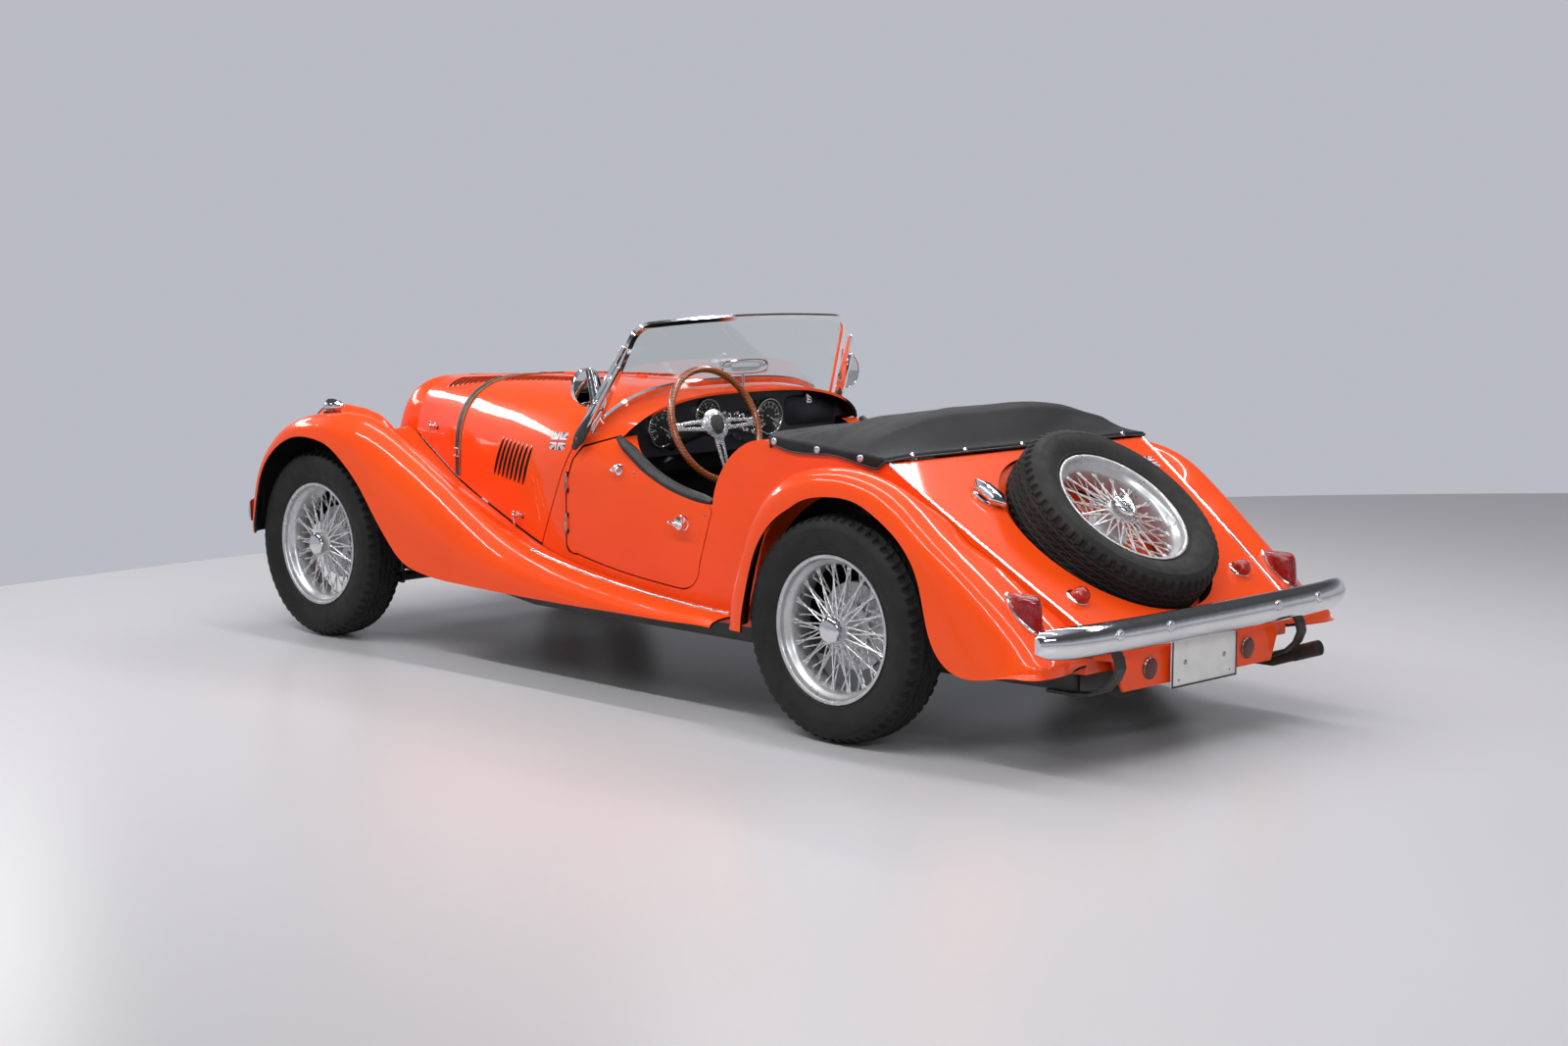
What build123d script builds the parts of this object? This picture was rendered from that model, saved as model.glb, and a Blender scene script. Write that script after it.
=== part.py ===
from build123d import *
import math
import os

# A two-seat open roadster. Millimetres. X runs forward, Y to the car's left, Z up from the floor.
# Pieces are drawn in the body's own frame, whose X = 0 is the scuttle's rear rim, and are moved
# to the car's frame, whose origin is under the middle of the car, when they are written.

# ---- Overall sizes -------------------------------------------------------------------------
WHEELBASE = 2438.0
REAR_OVERHANG = 829.0    # rear axle to the rear bumper's face
FRONT_OVERHANG = 391.0   # front axle to the front bumper's face
LENGTH = REAR_OVERHANG + WHEELBASE + FRONT_OVERHANG  # over the bumpers
WIDTH = 1422.0           # over the wings
SCUTTLE_TO_AXLE = 1000.0  # scuttle's rear rim to the rear axle
TRACK_FRONT = 1194.0
TRACK_REAR = 1245.0

# ---- Wheels and tyres ----------------------------------------------------------------------
TYRE_R = 317.0
TYRE_W = 160.0
RIM_R = 208.0            # rim lip
RIM_FACE = 62.0          # wheel centre plane to the rim's outer face
HUB_R = 34.0
HUB_OUT = 70.0           # wheel centre plane to the hub's outer end
SPOKE_R = 2.5
SPOKE_PAIRS = 12         # crossed pairs in each layer of spokes
DRUM_R = 125.0
DRUM_W = 50.0
KINGPIN_IN = 86.0        # front wheel centre plane to the kingpin
KINGPIN_R = 14.0
STUB_R = 16.0

# ---- Body ----------------------------------------------------------------------------------
AXLE_ABOVE_DATUM = 317.0  # axle centres above the body frame's Z = 0
BODY_HALF = 560.0        # half width at the doors
NOSE_HALF = 200.0        # half width at the radiator cowl's front
SHOULDER_Z = 600.0       # where the sides begin to curve over the top
SECTION_POWER = 3.0      # squareness of the bonnet's and scuttle's section
SKIN = 8.0               # bonnet, scuttle and deck skins
WING_SKIN = 7.0
DOOR_T = 45.0            # whole door
TUB_T = 42.0             # whole side wall behind the door
GAP = 5.0                # round doors and bonnet halves
SEAT_GAP = 0.4           # between pieces that bear on each other
JOINT_GAP = 3.0          # beading between the wings and the body
HINGE_STRIP = 5.0        # half width of the bonnet's centre strip
HINGE_PIN_R = 5.0        # door hinge barrels
FRAME_Z = 199.0          # underside of the chassis
RAIL_H = 62.0
RAIL_W = 44.0
FLOOR_T = 10.0
SCREEN_RAKE = 0.418      # rearward lean of the windscreen for each millimetre of height
SCREEN_FOOT = (180.0, 545.0, 733.0)
SCREEN_TOP = (471.0, 1111.0)  # half width and height at the top corners
SCREEN_CORNER = 62.0     # rounding of the top corners
SCREEN_CROWN = 12.0      # rise of the top edge at its middle
STEER_R = 188.0
STEER_CENTRE = (-136.0, 288.0, 803.0)
STEER_TILT = 20.0
SPARE_TILT = 39.4
BUMPER_H = 86.0
BUMPER_HALF = 698.0

# ---- Derived frames ------------------------------------------------------------------------
REAR_X = -SCUTTLE_TO_AXLE
FRONT_X = REAR_X + WHEELBASE
DATUM_X = -LENGTH / 2 + REAR_OVERHANG + SCUTTLE_TO_AXLE
DATUM_Z = TYRE_R - AXLE_ABOVE_DATUM
AXLE_Z = AXLE_ABOVE_DATUM
NOSE_X = LENGTH / 2 - DATUM_X       # front bumper's face
TAIL_X = -LENGTH / 2 - DATUM_X      # rear bumper's face
LIP_Y = WIDTH / 2
FRAME_TOP = FRAME_Z + RAIL_H


def front(x):
    """X of a place given from the front axle."""
    return FRONT_X + x


def rear(x):
    """X of a place given from the rear axle."""
    return REAR_X + x


# Half width of the bonnet and body side along X
TAPER = BODY_HALF - NOSE_HALF
SIDE = [
    (rear(-710), BODY_HALF - 99), (rear(-400), BODY_HALF - 30), (rear(-109), BODY_HALF + 15),
    (rear(300), BODY_HALF + 6), (-400, BODY_HALF), (100, BODY_HALF), (366, BODY_HALF - 17),
    (front(-615), NOSE_HALF + TAPER * 37 / 60), (front(-398), NOSE_HALF + TAPER * 4 / 9),
    (front(-201), NOSE_HALF + TAPER * 97 / 360), (front(-2), NOSE_HALF + TAPER * 37 / 360), (front(122), NOSE_HALF),
]
# Height of the bonnet's and scuttle's centre line
CROWN = [(-60, 888), (30, 892), (190, 900), (300, 903), (600, 901), (front(-580), 895),
         (front(-314), 882), (front(32), 864)]
# Height of the joint between the wings and the body side
JOINT = [
    (rear(440), 298), (-397, 302), (-224, 312), (-46, 330), (138, 356.5), (280, 381), (395, 403), (476, 420.5),
    (617, 451), (front(-687), 480), (front(-541), 512.5), (front(-405), 547), (front(-256), 593),
    (front(-89), 647), (front(12), 683), (front(80), 694),
]
BONNET_FRONT = front(-20)   # joint between bonnet and radiator cowl
REAR_EDGE_LEAN = 0.51       # rearward lean of the bonnet's rear edge for each millimetre of height
REAR_EDGE_FOOT = 397.0      # X of the bonnet's rear edge at the wing joint
REAR_EDGE_Z = 403.0
EDGE_GAP = GAP * math.sqrt(1 + REAR_EDGE_LEAN**2) + 0.3   # the gap across that edge, measured along X


# ---- Curves and solids ---------------------------------------------------------------------
def smooth(x, stations):
    """Value at x on the smooth curve through the stations."""
    last = len(stations) - 1
    x = min(max(x, stations[0][0]), stations[last][0])
    i = 0
    while i < last - 1 and x > stations[i + 1][0]:
        i += 1
    x0, v0 = stations[i]
    x1, v1 = stations[i + 1]
    xa, va = stations[max(i - 1, 0)]
    xb, vb = stations[min(i + 2, last)]
    m0 = (v1 - va) / (x1 - xa)
    m1 = (vb - v0) / (xb - x0)
    span = x1 - x0
    t = (x - x0) / span
    return (
        v0 * (2 * t**3 - 3 * t**2 + 1)
        + m0 * span * (t**3 - 2 * t**2 + t)
        + v1 * (3 * t**2 - 2 * t**3)
        + m1 * span * (t**3 - t**2)
    )


def side(x):
    return smooth(x, SIDE)


def crown(x):
    return smooth(x, CROWN)


def joint(x):
    return smooth(x, JOINT)


def section_y(x, z, inset=0.0):
    """Half width of the bonnet or scuttle skin at a height."""
    rise = max(z - SHOULDER_Z, 0.0) / (crown(x) - inset - SHOULDER_Z)
    return (side(x) - inset) * (1 - min(rise, 1.0) ** SECTION_POWER) ** (1 / SECTION_POWER)


def edge_of(points):
    if len(points) == 2:
        return Edge.make_line(*points)
    return Edge.make_spline(points)


def closed_wire(runs):
    """Closed wire of runs of points: two points are a line, more are a spline."""
    return Wire([edge_of(run) for run in runs])


def side_prism(runs, y0, y1):
    """Solid between y0 and y1 whose side view is the closed outline of (x, z) runs."""
    face = Face(closed_wire([[(x, y0, z) for x, z in run] for run in runs]))
    return extrude(face, amount=y1 - y0, dir=(0, 1, 0))


def plan_prism(runs, z0, z1):
    """Solid between z0 and z1 whose plan is the closed outline of (x, y) runs."""
    face = Face(closed_wire([[(x, y, z0) for x, y in run] for run in runs]))
    return extrude(face, amount=z1 - z0, dir=(0, 0, 1))


def front_prism(runs, x0, x1):
    """Solid between x0 and x1 whose front view is the closed outline of (y, z) runs."""
    face = Face(closed_wire([[(x0, y, z) for y, z in run] for run in runs]))
    return extrude(face, amount=x1 - x0, dir=(1, 0, 0))


def polygon(points):
    """Runs of a closed polygon."""
    return [[points[i], points[(i + 1) % len(points)]] for i in range(len(points))]


def block(x0, x1, y0, y1, z0, z1):
    return Pos((x0 + x1) / 2, (y0 + y1) / 2, (z0 + z1) / 2) * Box(x1 - x0, y1 - y0, z1 - z0)


def rod(a, b, r):
    """Round bar from a to b."""
    a, b = Vector(*a), Vector(*b)
    return Solid.make_cylinder(r, (b - a).length, Plane(origin=a, z_dir=(b - a).normalized()))


def turned(profile, origin, axis):
    """Solid turned from (radius, height) points about an axis through the origin."""
    pts = [(r, 0, h) for r, h in profile]
    face = Face(closed_wire(polygon(pts)))
    solid = Solid.revolve(face, 360, Axis((0, 0, 0), (0, 0, 1)))
    return Plane(origin=origin, z_dir=axis).location * solid


def mirrored(shape):
    """The same piece on the car's other side."""
    return mirror(shape, about=Plane.XZ)


def both(shape):
    """A left-hand piece and its mirror image, as one node."""
    return Compound(children=[*shape.solids(), *mirrored(shape).solids()])


def fused(first, *others):
    whole = first
    for other in others:
        whole = whole + other
    return whole


NODES = {}


def write(name, shape):
    """Keep a node, moved from the body's frame to the car's frame."""
    NODES[name] = Location((DATUM_X, 0, DATUM_Z)) * shape


# ---- Bonnet, scuttle and doors -------------------------------------------------------------
def half_section(x, t, low):
    """Closed half section of the skin: from the crown over the shoulder and down to low."""
    runs = []
    outer, inner = [], []
    steps = 8
    for k in range(steps + 1):
        angle = math.radians(90) * (1 - k / steps)
        c, s = math.cos(angle) ** (2 / SECTION_POWER), math.sin(angle) ** (2 / SECTION_POWER)
        for points, inset in ((outer, 0.0), (inner, t)):
            half = side(x) - inset
            top = crown(x) - inset - SHOULDER_Z
            points.append((x, half * c if k else 0.0, SHOULDER_Z + top * s))
    foot_out, foot_in = (x, side(x), low), (x, side(x) - t, low)
    runs.append(outer)
    runs.append([outer[-1], foot_out])
    runs.append([foot_out, foot_in])
    runs.append([foot_in, inner[-1]])
    runs.append(inner[::-1])
    runs.append([inner[0], outer[0]])
    return closed_wire(runs)


def half_skin(x0, x1, t, low, count):
    """Left half of the skin between two stations."""
    stations = [x0 + (x1 - x0) * i / (count - 1) for i in range(count)]
    return Solid.make_loft([half_section(x, t, low) for x in stations])


def half_room(x0, x1, inset):
    """Everything under the skin between two stations, on both sides."""
    wires = []
    for x in (x0, x1):
        points = []
        for k in range(9):
            angle = math.radians(90) * (1 - k / 8)
            c = math.cos(angle) ** (2 / SECTION_POWER) if k else 0.0
            s = math.sin(angle) ** (2 / SECTION_POWER)
            points.append((x, (side(x) - inset) * c, SHOULDER_Z + (crown(x) - inset - SHOULDER_Z) * s))
        foot, corner = (x, side(x) - inset, 400), (x, 0, 400)
        wires.append(closed_wire([points, [points[-1], foot], [foot, corner], [corner, points[0]]]))
    half = Solid.make_loft(wires, ruled=True)
    return half + mirrored(half)


def rear_edge(z):
    """X of the bonnet's rear edge at a height."""
    return REAR_EDGE_FOOT - REAR_EDGE_LEAN * (z - REAR_EDGE_Z)


def joint_run(x0, x1, lift, count):
    """Points along the wing joint, lifted."""
    return [(x0 + (x1 - x0) * i / (count - 1), joint(x0 + (x1 - x0) * i / (count - 1)) + lift)
            for i in range(count)]


SKIN_LOW = 255.0
ABOVE = 960.0      # above every skin
BONNET_LIFT = GAP + 1.5   # bonnet's lower edge above the wing joint


def make_bonnet(lugs=1):
    skin = half_skin(rear_edge(ABOVE) - 20, BONNET_FRONT + 10, SKIN, SKIN_LOW, 12)
    low = joint_run(rear_edge(REAR_EDGE_Z + BONNET_LIFT) + EDGE_GAP / 2, BONNET_FRONT, BONNET_LIFT, 12)
    outline = [
        low,
        [low[-1], (BONNET_FRONT, ABOVE)],
        [(BONNET_FRONT, ABOVE), (rear_edge(ABOVE) + EDGE_GAP / 2, ABOVE)],
        [(rear_edge(ABOVE) + EDGE_GAP / 2, ABOVE), low[0]],
    ]
    keep = side_prism(outline, HINGE_STRIP + GAP, BODY_HALF + 40)
    return (skin & keep).solids()[0] + bonnet_lugs(lugs)


DOOR_FRONT = 252.0
DOOR_LOW = 26.0          # door's lower edge above the wing joint
DOOR_REAR_LOW = (-347.0, 420.0)
DOOR_ELBOW = (-389.0, 599.0)
DOOR_NOTCH = (36.0, 768.0)


def door_outline(grow):
    """Runs of the door's outline, grown outward by the gap for its opening."""
    g = grow
    return [
        [(DOOR_FRONT + g, 425), (DOOR_FRONT + g, 600)],
        [(DOOR_FRONT + g, 600), (DOOR_FRONT - 30 + 1.2 * g, 688)],
        [(DOOR_FRONT - 30 + 1.2 * g, 688), (DOOR_FRONT - 66 + 0.9 * g, 727 + 1.1 * g)],
        [(DOOR_FRONT - 66 + 0.9 * g, 727 + 1.1 * g), (DOOR_NOTCH[0], DOOR_NOTCH[1] + 1.1 * g)],
        [(DOOR_NOTCH[0], DOOR_NOTCH[1] + 1.1 * g), (-78, 691 + 1.2 * g), (-208, 634 + 1.1 * g),
         (DOOR_ELBOW[0], DOOR_ELBOW[1] + g)],
        [(DOOR_ELBOW[0], DOOR_ELBOW[1] + g), (DOOR_ELBOW[0] - 10 - g, 580)],
        [(DOOR_ELBOW[0] - 10 - g, 580), (DOOR_REAR_LOW[0] - g, DOOR_REAR_LOW[1])],
        [(DOOR_REAR_LOW[0] - g, DOOR_REAR_LOW[1]), (-330 - g, 366), (-279, 341 - g)],
        [(-279, 341 - g), (-120, 353 - g), (60, 374 - g), (DOOR_FRONT - 50, 398 - g)],
        [(DOOR_FRONT - 50, 398 - g), (DOOR_FRONT - 12 + g, 406 - g), (DOOR_FRONT + g, 425)],
    ]


def make_door():
    skin = half_skin(-440, DOOR_FRONT + 20, DOOR_T, SKIN_LOW, 6)
    door = (skin & side_prism(door_outline(0.0), BODY_HALF - 140, BODY_HALF + 40)).solids()[0]
    return door


def section_run(x, inset, low_z):
    """Half outline of the skin's inside at a station, from the crown down to a height: (y, z) points."""
    top = crown(x) - inset
    points = [(0.0, top)]
    for k in range(1, 13):
        z = SHOULDER_Z + (top - SHOULDER_Z) * math.cos(math.radians(90 * k / 12)) ** (2 / SECTION_POWER)
        if z <= low_z:
            break
        points.append((section_y(x, z, inset), z))
    points.append((section_y(x, low_z, inset), low_z))
    return points


def make_scuttle():
    """Scuttle skin, its side posts ahead of the doors and the stepped bulkhead behind the engine."""
    skin = half_skin(-440, REAR_EDGE_FOOT + 20, SKIN, SKIN_LOW, 10)
    foot = joint_run(SILL_FRONT, REAR_EDGE_FOOT - 3.4, -60, 4)
    notch_x, notch_z = DOOR_NOTCH
    knee_z = REAR_EDGE_Z + (3.4 - EDGE_GAP / 2) / REAR_EDGE_LEAN
    outline = [
        foot,
        [foot[-1], (REAR_EDGE_FOOT - 3.4, knee_z)],
        [(REAR_EDGE_FOOT - 3.4, knee_z), (rear_edge(ABOVE) - EDGE_GAP / 2, ABOVE)],
        [(rear_edge(ABOVE) - EDGE_GAP / 2, ABOVE), (-10, ABOVE)],
        [(-10, ABOVE), (-10, 850)],
        [(-10, 850), (8, 800), (notch_x, notch_z - 10)],
        [(notch_x, notch_z - 10), (notch_x + 10, 560)],
        [(notch_x + 10, 560), (SILL_FRONT, 560)],
        [(SILL_FRONT, 560), foot[0]],
    ]
    left = skin & side_prism(outline, 0, BODY_HALF + 40)
    left = left - side_prism(door_outline(GAP), BODY_HALF - 140, BODY_HALF + 60)
    for z in HINGE_Z:
        left = left - rod((HINGE_X, HINGE_Y, z - HINGE_HALF - 16), (HINGE_X, HINGE_Y, z + HINGE_HALF + 16), HINGE_PIN_R + 3)
        for end in (-1, 1):
            z0, z1 = sorted((z + end * (HINGE_HALF + SEAT_GAP), z + end * (HINGE_HALF + 13)))
            left = left + rod((HINGE_X, HINGE_Y, z0), (HINGE_X, HINGE_Y, z1), HINGE_PIN_R)
            left = left + block(HINGE_X, HINGE_X + 14, HINGE_Y - 4, HINGE_Y + 1.8, z0, z1)
    left = max(left.solids(), key=lambda s: s.volume)
    half = section_run(BULKHEAD_X, SKIN / 2, SHELF_TOP)
    ledge = [half[-1], (SHELF_HALF, SHELF_TOP), (SHELF_HALF, SHELF_Z), (-SHELF_HALF, SHELF_Z),
             (-SHELF_HALF, SHELF_TOP), (-half[-1][0], SHELF_TOP)]
    other = [(-y, z) for y, z in reversed(half)]
    runs = [half, *[[ledge[i], ledge[i + 1]] for i in range(5)], other]
    upper = front_prism(runs, BULKHEAD_X - BULKHEAD_T, BULKHEAD_X)
    shelf = block(BULKHEAD_X - BULKHEAD_T, TOE_X + BULKHEAD_T, -SHELF_HALF, SHELF_HALF, SHELF_Z, SHELF_Z + BULKHEAD_T)
    wide = side(TOE_X) - SKIN / 2
    toe = block(TOE_X, TOE_X + BULKHEAD_T, -wide, wide, FRAME_TOP + SEAT_GAP, SHELF_Z + BULKHEAD_T)
    return left + mirrored(left) + upper + shelf + toe


BULKHEAD_X = 142.0
BULKHEAD_T = 6.0
TOE_X = 259.0             # bulkhead ahead of the footwells
SHELF_Z = 634.0           # step between the two
SHELF_HALF = 468.0
SHELF_TOP = 762.0         # the upper bulkhead is as wide as the scuttle above this
SILL_FRONT = DOOR_FRONT - 160


def strap_half():
    """Left half of the leather strap, lying on the bonnet."""
    x0, x1 = STRAP_X - STRAP_W / 2, STRAP_X + STRAP_W / 2
    lift = SEAT_GAP + STRAP_T
    wires = []
    for x in (x0, x1):
        outer, inner = [], []
        for k in range(9):
            angle = math.radians(90) * (1 - k / 8)
            c = math.cos(angle) ** (2 / SECTION_POWER) if k else 0.0
            s = math.sin(angle) ** (2 / SECTION_POWER)
            for points, out in ((outer, lift), (inner, SEAT_GAP)):
                rise = crown(x) + out - SHOULDER_Z
                points.append((x, (side(x) + out) * c, SHOULDER_Z + rise * s))
        low = joint(STRAP_X) + BONNET_LIFT + STRAP_CLEAR
        foot_out, foot_in = (x, side(x) + lift, low), (x, side(x) + SEAT_GAP, low)
        runs = [outer, [outer[-1], foot_out], [foot_out, foot_in], [foot_in, inner[-1]],
                inner[::-1], [inner[0], outer[0]]]
        wires.append(closed_wire(runs))
    strap = Solid.make_loft(wires, ruled=True)
    return (strap & block(x0 - 5, x1 + 5, HINGE_STRIP + 6, BODY_HALF, 300, ABOVE)).solids()[0]


STRAP_X = 1040.0
STRAP_W = 38.0
STRAP_T = 4.0
STRAP_CLEAR = 6.0


HINGE_LINE = (147.0, 912.0, 1418.0, 880.5)   # bonnet's hinge axis: x and z at its ends
HINGE_LUGS = (520.0, 880.0)
LUG_L = 24.0
LUG_R = 6.0
LUG_PIN_R = 3.0


def hinge_point(x):
    x0, z0, x1, z1 = HINGE_LINE
    return (x, 0, z0 + (z1 - z0) * (x - x0) / (x1 - x0))


def make_hinge_strip():
    """Strip along the bonnet's centre line, bared to its pin where the halves' lugs turn on it."""
    x0, x1 = rear_edge(crown(150) - 8.5) - EDGE_GAP / 2 + SEAT_GAP, BONNET_FRONT + GAP + 0.5 - SEAT_GAP
    count = 6
    top = [(x0 + (x1 - x0) * i / (count - 1), crown(x0 + (x1 - x0) * i / (count - 1)) + 1.5) for i in range(count)]
    low = [(x, z - SKIN - 2) for x, z in top][::-1]
    strip = side_prism([top, [top[-1], low[0]], low, [low[-1], top[0]]], -HINGE_STRIP, HINGE_STRIP)
    for x in HINGE_LUGS:
        strip = strip - block(x - LUG_L - 1, x + LUG_L + 1, -20, 20, 800, 1000)
        strip = strip + rod(hinge_point(x - LUG_L - 4), hinge_point(x + LUG_L + 4), LUG_PIN_R)
    return strip


def bonnet_lugs(side_of_pin):
    """The left half's lugs sit ahead of the right half's (side_of_pin +1)."""
    whole = None
    for x in HINGE_LUGS:
        x0, x1 = sorted((x + side_of_pin * 0.5, x + side_of_pin * LUG_L))
        lug = rod(hinge_point(x0), hinge_point(x1), LUG_R)
        lug = lug + block(x0, x1, 3, HINGE_STRIP + GAP + 3, crown(x) - 7, crown(x) - 0.5)
        lug = lug - rod(hinge_point(x0 - 5), hinge_point(x1 + 5), LUG_PIN_R + RUN_GAP)
        whole = lug if whole is None else whole + lug
    return whole


# ---- Wings ---------------------------------------------------------------------------------
CROWN_Y = 606.0          # half width of the front wings' highest line
# Each station: highest line (x, z), lip (x, z), joint with the body (x, y, z) and, where they differ, the shares
# of the way across and up for the rise and for the outer shoulder. A joint's y of 0 lies on the bonnet's or
# body's side at the joint line, one of 1 on the radiator cowl, one of 2 beside the body and one of 3 wider still.
FRONT_WING = [
    ((front(366), 330), (front(296), 330), (front(176), 1, 330), [(0.50, 0.90), (0.80, 1.0)],
     [(0.50, 0.16), (0.82, 0.55), (0.96, 0.80)]),
    ((front(363), 430), (front(292), 408), (front(170), 1, 420), [(0.50, 0.83), (0.80, 0.985)],
     [(0.50, 0.16), (0.82, 0.55), (0.96, 0.80)]),
    ((front(338), 520), (front(270), 494), (front(154), 1, 505), [(0.50, 0.58), (0.80, 0.93)],
     [(0.50, 0.14), (0.82, 0.48), (0.96, 0.76)]),
    ((front(290), 600), (front(225), 580), (front(127), 1, 592), [(0.50, 0.34), (0.80, 0.86)],
     [(0.50, 0.12), (0.82, 0.42), (0.96, 0.72)]),
    ((front(227), 668), (front(152), 642), (front(104), 1, 655), [(0.50, 0.28), (0.80, 0.82)],
     [(0.50, 0.10), (0.82, 0.37), (0.96, 0.69)]),
    ((front(147), 722), (front(67), 678), (front(66), 1, 686)),
    ((front(52), 753), (front(-3), 686), (front(12), 0, 0)),
    ((front(-45), 765), (front(-68), 682), (front(-89), 0, 0)),
    ((front(-138), 768), (front(-148), 662), (front(-178), 0, 0)),
    ((front(-222), 762), (front(-238), 607), (front(-256), 0, 0)),
    ((front(-332), 730), (front(-323), 533), (front(-348), 0, 0)),
    ((front(-438), 682), (front(-398), 447), (front(-448), 0, 0)),
    ((front(-538), 632), (front(-473), 370), (front(-548), 0, 0)),
    ((front(-638), 580), (front(-548), 313), (front(-648), 0, 0)),
    ((front(-738), 528), (front(-648), 287), (front(-748), 0, 0)),
    ((600, 480), (680, 276), (590, 0, 0)),
    ((500, 440), (560, 273), (500, 0, 0)),
    ((400, 409), (440, 270), (400, 0, 0)),
    ((320, 390), (342, 269), (320, 0, 0)),
    ((230, 372.5), (240, 268), (230, 0, 0)),
    ((130, 355.5), (132, 268), (130, 0, 0)),
    ((20, 340), (20, 268), (20, 0, 0)),
    ((-100, 326), (-100, 269), (-100, 0, 0)),
    ((-240, 313), (-240, 270), (-240, 0, 0)),
    ((-400, 303), (-400, 271), (-400, 0, 0)),
    ((rear(450), 297), (rear(450), 272), (rear(450), 0, 0)),
]
REAR_CROWN_Y = 632.0
REAR_WING = [
    ((rear(412), 275), (rear(326), 275), (rear(445), 3, 275)),
    ((rear(402), 350), (rear(318), 345), (rear(436), 3, 350)),
    ((rear(380), 440), (rear(300), 420), (rear(412), 3, 440)),
    ((rear(343), 540), (rear(272), 505), (rear(380), 3, 535)),
    ((rear(292), 640), (rear(230), 572), (rear(328), 3, 620)),
    ((rear(230), 700), (rear(178), 619), (rear(258), 2, 690)),
    ((rear(148), 740), (rear(116), 655), (rear(160), 2, 732)),
    ((rear(58), 758), (rear(48), 680), (rear(60), 2, 748)),
    ((rear(-38), 760), (rear(-32), 688), (rear(-40), 2, 750)),
    ((rear(-145), 740), (rear(-108), 681), (rear(-135), 2, 722)),
    ((rear(-250), 688), (rear(-193), 644), (rear(-245), 2, 672)),
    ((rear(-345), 614), (rear(-268), 592), (rear(-340), 2, 606)),
    ((rear(-430), 548), (rear(-326), 520), (rear(-430), 2, 544)),
    ((rear(-515), 482), (rear(-360), 420), (rear(-510), 2, 488)),
    ((rear(-592), 420), (rear(-390), 330), (rear(-590), 2, 430)),
    ((rear(-660), 362), (rear(-450), 268), (rear(-650), 2, 386)),
    ((rear(-714), 322), (rear(-540), 254), (rear(-690), 2, 340)),
    ((rear(-738), 275), (rear(-690), 275), (rear(-700), 2, 275)),
]


def cowl_y(x, z):
    """Half width of the radiator cowl at a place."""
    half = smooth(z, [(level, width) for level, _, width in COWL])
    depth = (x - BONNET_FRONT) / (nose_x(z) - BONNET_FRONT)
    return half * (1 - max(depth, 0.0) ** COWL_POWER) ** (1 / COWL_POWER)


def wing_grid(stations, crown_y, rise):
    """Rows of points across the wing: joint, the way up, highest line, outer shoulder and lip."""
    grid = []
    for (cx, cz), (lx, lz), (jx, jy, jz), *shares in stations:
        up_shares, down_shares = shares if shares else (rise, OUTER_SHOULDER)
        if jy == 0:
            jy, jz = side(jx) + JOINT_GAP, joint(jx)
        elif jy == 1:
            jy = cowl_y(jx, jz) + COWL_JOINT + max(480 - jz, 0) / 14
        else:
            jy = side(jx) + JOINT_GAP * (1 if jy == 2 else 2.5)
        row = [(jx, jy, jz)]
        for across, up in up_shares:
            row.append((jx + (cx - jx) * up, jy + (crown_y - jy) * across, jz + (cz - jz) * up))
        row.append((cx, crown_y, cz))
        for across, down in down_shares:
            row.append((cx + (lx - cx) * down, crown_y + (LIP_Y - crown_y) * across, cz + (lz - cz) * down))
        row.append((lx, LIP_Y, lz))
        grid.append(row)
    return grid


COWL_JOINT = 7.0         # rubber strip between the wings and the radiator cowl
OUTER_SHOULDER = [(0.50, 0.09), (0.82, 0.33), (0.96, 0.66)]
FRONT_RISE = [(0.50, 0.27), (0.80, 0.80)]
REAR_RISE = [(0.50, 0.70)]


def unit(v):
    size = math.sqrt(sum(c * c for c in v))
    return [c / size for c in v]


def minus(a, b):
    return [p - q for p, q in zip(a, b)]


def cross(a, b):
    return [a[1] * b[2] - a[2] * b[1], a[2] * b[0] - a[0] * b[2], a[0] * b[1] - a[1] * b[0]]


def wing_shell(grid, first, last):
    """Loft of the wing's skin. first and last are the normals of its flat end sections."""
    rows, cols = len(grid), len(grid[0])
    wires = []
    for i, row in enumerate(grid):
        inner = []
        for k in range(cols):
            along = minus(grid[min(i + 1, rows - 1)][k], grid[max(i - 1, 0)][k])
            if i == 0:
                along = first
            if i == rows - 1:
                along = last
            across = minus(row[min(k + 1, cols - 1)], row[max(k - 1, 0)])
            normal = unit(cross(along, across))
            inner.append(tuple(p + WING_SKIN * n for p, n in zip(row[k], normal)))
        wires.append(closed_wire([row, [row[-1], inner[-1]], inner[::-1], [inner[0], row[0]]]))
    return Solid.make_loft(wires)


LAMP_X = front(224.0)      # headlamp rim's front
LAMP_Y = 413.0
LAMP_Z = 668.0
LAMP_R = 92.0
POD_R = 102.0


def make_pod():
    """Headlamp pod: a bullet that stands on the wing."""
    body = [(0, -330), (22, -322), (58, -268), (82, -212), (95, -150), (POD_R, -70), (POD_R, -6), (0, -6)]
    pod = turned(body, (LAMP_X, LAMP_Y, LAMP_Z), (1, 0, 0))
    back, nose = LAMP_X - 345, LAMP_X + 5
    under = [(back, 700), (LAMP_X - 62, 608), (LAMP_X - 20, 568), (nose, 566), (nose, 800), (back, 800)]
    keep = side_prism(polygon(under), 250, 560)
    return (pod & keep).solids()[0]


def make_front_wing():
    wing = wing_shell(wing_grid(FRONT_WING, CROWN_Y, FRONT_RISE), (0, 0, 1), (-1, 0, 0))
    seat = rod((LAMP_X - 5.8, LAMP_Y, LAMP_Z), (LAMP_X + 120, LAMP_Y, LAMP_Z), POD_R + 0.6)
    return wing + make_pod() - seat


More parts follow.
